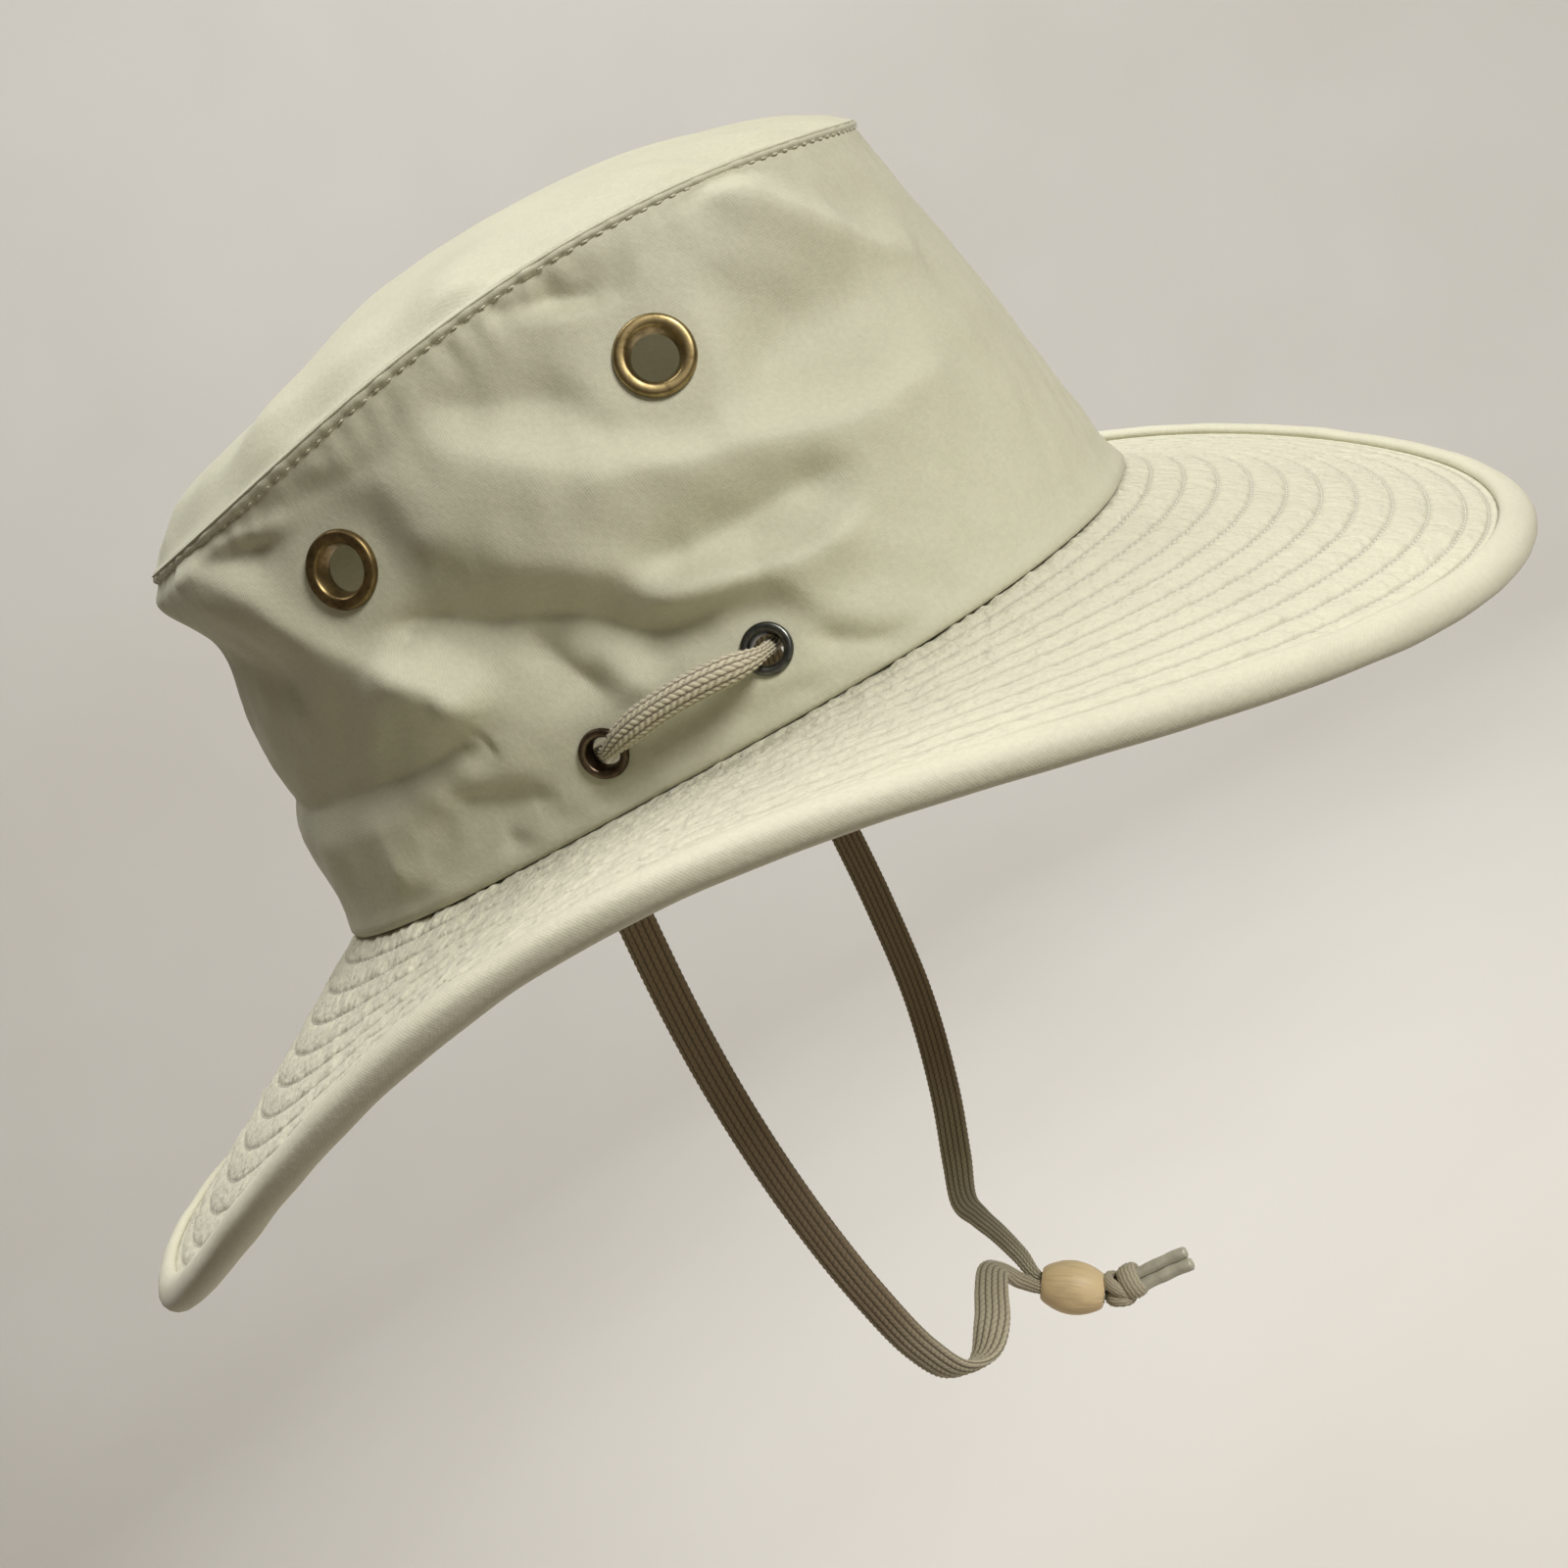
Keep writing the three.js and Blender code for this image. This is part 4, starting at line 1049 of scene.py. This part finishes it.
# Knots: each strand is tied off inside the crown, and both are tied together below the bead.
# A knot is three tight turns of the flattened braid, drawn down against each other.
# axis is the way that a turn goes round, in the knot's own frame, whose x runs along the tails.
KNOT_TURNS = (
    {"at": (2.2, 0, 0.4), "axis": (1, 0.1, 0.05), "radius": 3.1, "wide": 5.0, "thick": 2.5},
    {"at": (-1.2, 0.1, 0.6), "axis": (0.8, 0.15, 0.6), "radius": 3.2, "wide": 3.2, "thick": 2.5},
    {"at": (-2.3, -0.4, -2.0), "axis": (0.35, 0.3, 0.9), "radius": 2.5, "wide": 3.8, "thick": 2.8},
)
KNOT_AT = np.array([6.9, 0, -173.3])
STOPS = {"right": np.array([45.2, -58.8, 15.0]), "left": np.array([45.2, 63.8, 15.0])}
KNOT_DARKENING = 0.08
KNOT_RELIEF = 0.22


def tied_knot(name, at, tails, node):
    """A knot at a place, whose tails leave it in the given direction."""
    tails = unit(np.array(tails, float))
    up = unit(np.array([0, 0, 1.0]) - tails * tails[2])
    own = np.stack([tails, np.cross(up, tails), up])
    meshes = []
    for turn in KNOT_TURNS:
        axis = unit(np.array(turn["axis"], float) @ own)
        aside = unit(np.cross(axis, up + 0.3 * tails))
        beside = np.cross(axis, aside)
        round_length = math.tau * turn["radius"]
        around = np.linspace(0, math.tau, round(round_length / BRAID_STEP) + 1)[:, None]
        spoke = aside * np.cos(around) + beside * np.sin(around)
        loop = at + np.array(turn["at"]) @ own + spoke * turn["radius"]
        run = around[:, 0] / math.tau * round(round_length / BRAID_PITCH) * BRAID_PITCH
        size = np.ones(len(loop))
        meshes.append(braided_tube(name, loop, run, size * turn["wide"], size * turn["thick"], spoke,
                                   size * KNOT_DARKENING, KNOT_RELIEF, closed=True))
    joined = bmesh.new()
    for mesh in meshes:
        joined.from_mesh(mesh)
    joined.to_mesh(meshes[0])
    joined.free()
    return add_piece(meshes[0], braid, "braid", node)


stops = {
    side: tied_knot(f"stop_knot_{side}", at, (0.3, -at[1], 0), f"cord_stop_{side}")
    for side, at in STOPS.items()
}
end_knot = tied_knot("end_knot", KNOT_AT, (1, 0, 0), "cord_knot")

# Tails: the two cut ends of the cord below the knot, laid side by side.
# They are sealed with heat, which leaves them smooth and slightly glossy.
TAIL = {"start": 9.0, "end": 25.0, "height": -173.3, "apart": 1.088, "round": 3.0, "sides": 28, "steps": 60}
TAIL_TIP = 0.05
TAIL_SHORTER = 0.6
TAIL_UNEVEN = {"size": 0.04, "waves": 17}
TAIL_BEND = {"aside": 0.05, "up": 0.4, "waves": 2.4, "from": -0.6}


def sealed_finish(name, colour):
    """Braid melted smooth: faint lengthwise ridges under a glossy surface."""
    material, tree = new_finish(name)
    flat = on_cloth(tree)
    ridges = bands(tree, flat, 260.0, Distortion=2.0, Detail=2.0)
    patches = noise(tree, flat, 300.0, 3.0)
    tint = colour_ramp(tree, patches, (0.3, tinted(colour, 0.7)), (0.7, colour))
    face = bumped(tree, ridges, 0.35, 0.12)
    finish_shader(tree, Base_Color=tint, Roughness=0.32, Normal=face, Coat_Weight=0.3, Coat_Roughness=0.25)
    return material


sealed_braid = sealed_finish("sealed_braid", (0.64, 0.62, 0.49))
for side, sign in (("right", -1), ("left", 1)):
    share = np.linspace(0, 1, TAIL["steps"])
    cap = np.sqrt(np.clip(1 - np.clip((share - 1 + TAIL_TIP) / TAIL_TIP, 0, 1) ** 2, 0, 1))
    radius = TAIL["round"] / 2 * (1 + TAIL_UNEVEN["size"] * np.sin(TAIL_UNEVEN["waves"] * share + sign)) * cap
    x = TAIL["start"] + (TAIL["end"] - TAIL["start"] - TAIL_SHORTER * (sign > 0)) * share
    y = sign * TAIL["apart"] * (1 + TAIL_BEND["aside"] * share)
    bend = TAIL_BEND["up"] * np.sin(TAIL_BEND["waves"] * share + TAIL_BEND["from"])
    z = TAIL["height"] + sign * TAIL["apart"] + bend
    around = np.linspace(0, math.tau, TAIL["sides"] + 1)[:, None]
    places = np.broadcast_arrays(x, y + radius * np.cos(around), z + radius * np.sin(around))
    tail_round = around * TAIL["round"] / 2
    tail_mesh = cloth_mesh(f"sealed_tail_{side}", np.stack(places, axis=-1), tail_round, x, capped=True)
    add_piece(tail_mesh, sealed_braid, "braid", f"cord_tail_{side}")

# Bead: a turned birch barrel that slides on both strands to draw the cord up.
# It is sanded smooth and waxed, with its ends cut square and the bore drilled through.
BEAD = {"length": 15.2, "middle": 6.5, "end": 3.9, "bore": 3.4, "edge": 0.45, "rows": 26, "sides": 72}


def birch(name, pale, dark):
    """Waxed birch: fine grain along the bead, small pores and faint growth rings."""
    material, tree = new_finish(name)
    lengthwise = (1.0, 0.12, 1.0)
    stretched = add_node(tree, "ShaderNodeMapping", "Vector", {"Vector": on_cloth(tree), "Scale": lengthwise})
    grain = noise(tree, stretched, 1400.0, 5.0)
    rings = noise(tree, in_space(tree), 130.0, 3.0)
    tint = colour_ramp(tree, added(tree, grain, rings), (0.75, dark), (1.0, pale), (1.0, tinted(pale, 1.06)))
    face = bumped(tree, grain, 0.18, 0.08)
    finish_shader(tree, Base_Color=tint, Roughness=0.48, Normal=face, Coat_Weight=0.12, Coat_Roughness=0.35)
    return material


share = np.linspace(0, 1, BEAD["rows"])
along = BEAD["edge"] * 0.4 + (BEAD["length"] - BEAD["edge"] * 0.8) * share
barrel = BEAD["end"] + (BEAD["middle"] - BEAD["end"]) * np.sin(math.pi * share) ** 0.8
ends = ((BEAD["end"] - BEAD["edge"], 0.0), (BEAD["bore"] + 0.15, 0.0), (BEAD["bore"], 0.3))
rear = [(radius, BEAD["length"] - inward) for radius, inward in ends]
section = np.array([*reversed(ends), *zip(barrel, along), *rear])
bead_places = turned(BEAD_START, BEAD_AXIS, np.array([0, 1.0, 0]), section, BEAD["sides"])
girth = np.linspace(0, math.tau, BEAD["sides"] + 1)[None, :] * BEAD["middle"]
bead_mesh = cloth_mesh("birch_bead", ringed(bead_places), girth, ringed(section[:, 1:]))
waxed_birch = birch("waxed_birch", (0.86, 0.67, 0.385), (0.76, 0.57, 0.31))
bead = add_piece(bead_mesh, waxed_birch, "birch", "cord_bead")

# Stage: a pale studio sweep far below and around the hat, which is held up at the height where it is worn.
# A large soft light stands ahead and above, and the open studio fills the shade.
SWEEP = {"floor": -750.0, "flat": 2300.0, "bend": 800.0, "top": 3200.0, "bend_steps": 12, "turn_steps": 96}
profile = [(0, SWEEP["floor"])]
for turn in np.linspace(0, math.pi / 2, SWEEP["bend_steps"] + 1):
    out = SWEEP["flat"] + SWEEP["bend"] * math.sin(turn)
    profile.append((out, SWEEP["floor"] + SWEEP["bend"] * (1 - math.cos(turn))))
profile.append((SWEEP["flat"] + SWEEP["bend"], SWEEP["top"]))
bm = bmesh.new()
line = [bm.verts.new((out * MM, 0, height * MM)) for out, height in profile]
for pair in zip(line, line[1:]):
    bm.edges.new(pair)
bmesh.ops.spin(bm, geom=bm.verts[:] + bm.edges[:], cent=(0, 0, 0), axis=(0, 0, 1), angle=math.tau,
               steps=SWEEP["turn_steps"], use_merge=True)
bmesh.ops.remove_doubles(bm, verts=bm.verts, dist=JOIN * MM)
bmesh.ops.recalc_face_normals(bm, faces=bm.faces)
sweep_mesh = bpy.data.meshes.new("studio_sweep")
bm.to_mesh(sweep_mesh)
bm.free()
sweep_mesh.polygons.foreach_set("use_smooth", np.ones(len(sweep_mesh.polygons), bool))
paper, paper_tree = new_finish("pale_paper")
paper_grain = noise(paper_tree, in_space(paper_tree), 3.0, 2.0)
paper_tint = colour_ramp(paper_tree, paper_grain, (0.3, (0.45, 0.41, 0.35)), (0.7, (0.47, 0.43, 0.37)))
finish_shader(paper_tree, Base_Color=paper_tint, Roughness=0.9)
sweep_mesh.materials.append(paper)
sweep = bpy.data.objects.new("studio_sweep", sweep_mesh)
scene.collection.objects.link(sweep)

LIGHTS = (
    {"name": "key_light", "at": (1200, -690, 830), "aim": (0, 0, -40), "size": 0.6, "power": 22.5,
     "colour": (1.0, 0.985, 0.965)},
    {"name": "top_light", "at": (-190, 330, 1600), "aim": (0, 0, 0), "size": 1.1, "power": 22.5,
     "colour": (1.0, 0.99, 0.98)},
    {"name": "backdrop_light", "at": (0, 900, 1300), "aim": (-800, 3100, -100), "size": 2.0, "power": 74.0,
     "colour": (0.93, 1.0, 1.1)},
)
for plan in LIGHTS:
    lamp_data = bpy.data.lights.new(plan["name"], "AREA")
    lamp_data.shape = "DISK"
    lamp_data.size = plan["size"]
    lamp_data.energy = plan["power"]
    lamp_data.color = plan["colour"]
    lamp = bpy.data.objects.new(plan["name"], lamp_data)
    lamp.location = Vector(plan["at"]) * MM
    lamp.rotation_euler = (Vector(plan["at"]) - Vector(plan["aim"])).to_track_quat("Z", "Y").to_euler()
    scene.collection.objects.link(lamp)

world = bpy.data.worlds.new("studio")
world.use_nodes = True
world.node_tree.nodes["Background"].inputs["Color"].default_value = (1.0, 0.7, 0.45, 1)
world.node_tree.nodes["Background"].inputs["Strength"].default_value = 0.042
scene.world = world
scene.view_settings.view_transform = "Standard"

# Camera: at the photograph's angle, which looks at the hat's right side from a little above and tilted.
CAMERA = {"azimuth": 20.7, "elevation": 11.1, "roll": -32.1, "place": (172.36, -453.52, 70.51), "lens": 49.5}
camera_data = bpy.data.cameras.new("photo_camera")
camera_data.lens = CAMERA["lens"]
camera_data.sensor_width = 36
camera_data.clip_start = 0.01
camera = bpy.data.objects.new("photo_camera", camera_data)
camera.matrix_world = (
    Matrix.Translation(Vector(CAMERA["place"]) * MM)
    @ Matrix.Rotation(math.radians(CAMERA["azimuth"]), 4, "Z")
    @ Matrix.Rotation(math.radians(90 - CAMERA["elevation"]), 4, "X")
    @ Matrix.Rotation(math.radians(CAMERA["roll"]), 4, "Z")
)
scene.collection.objects.link(camera)
scene.camera = camera
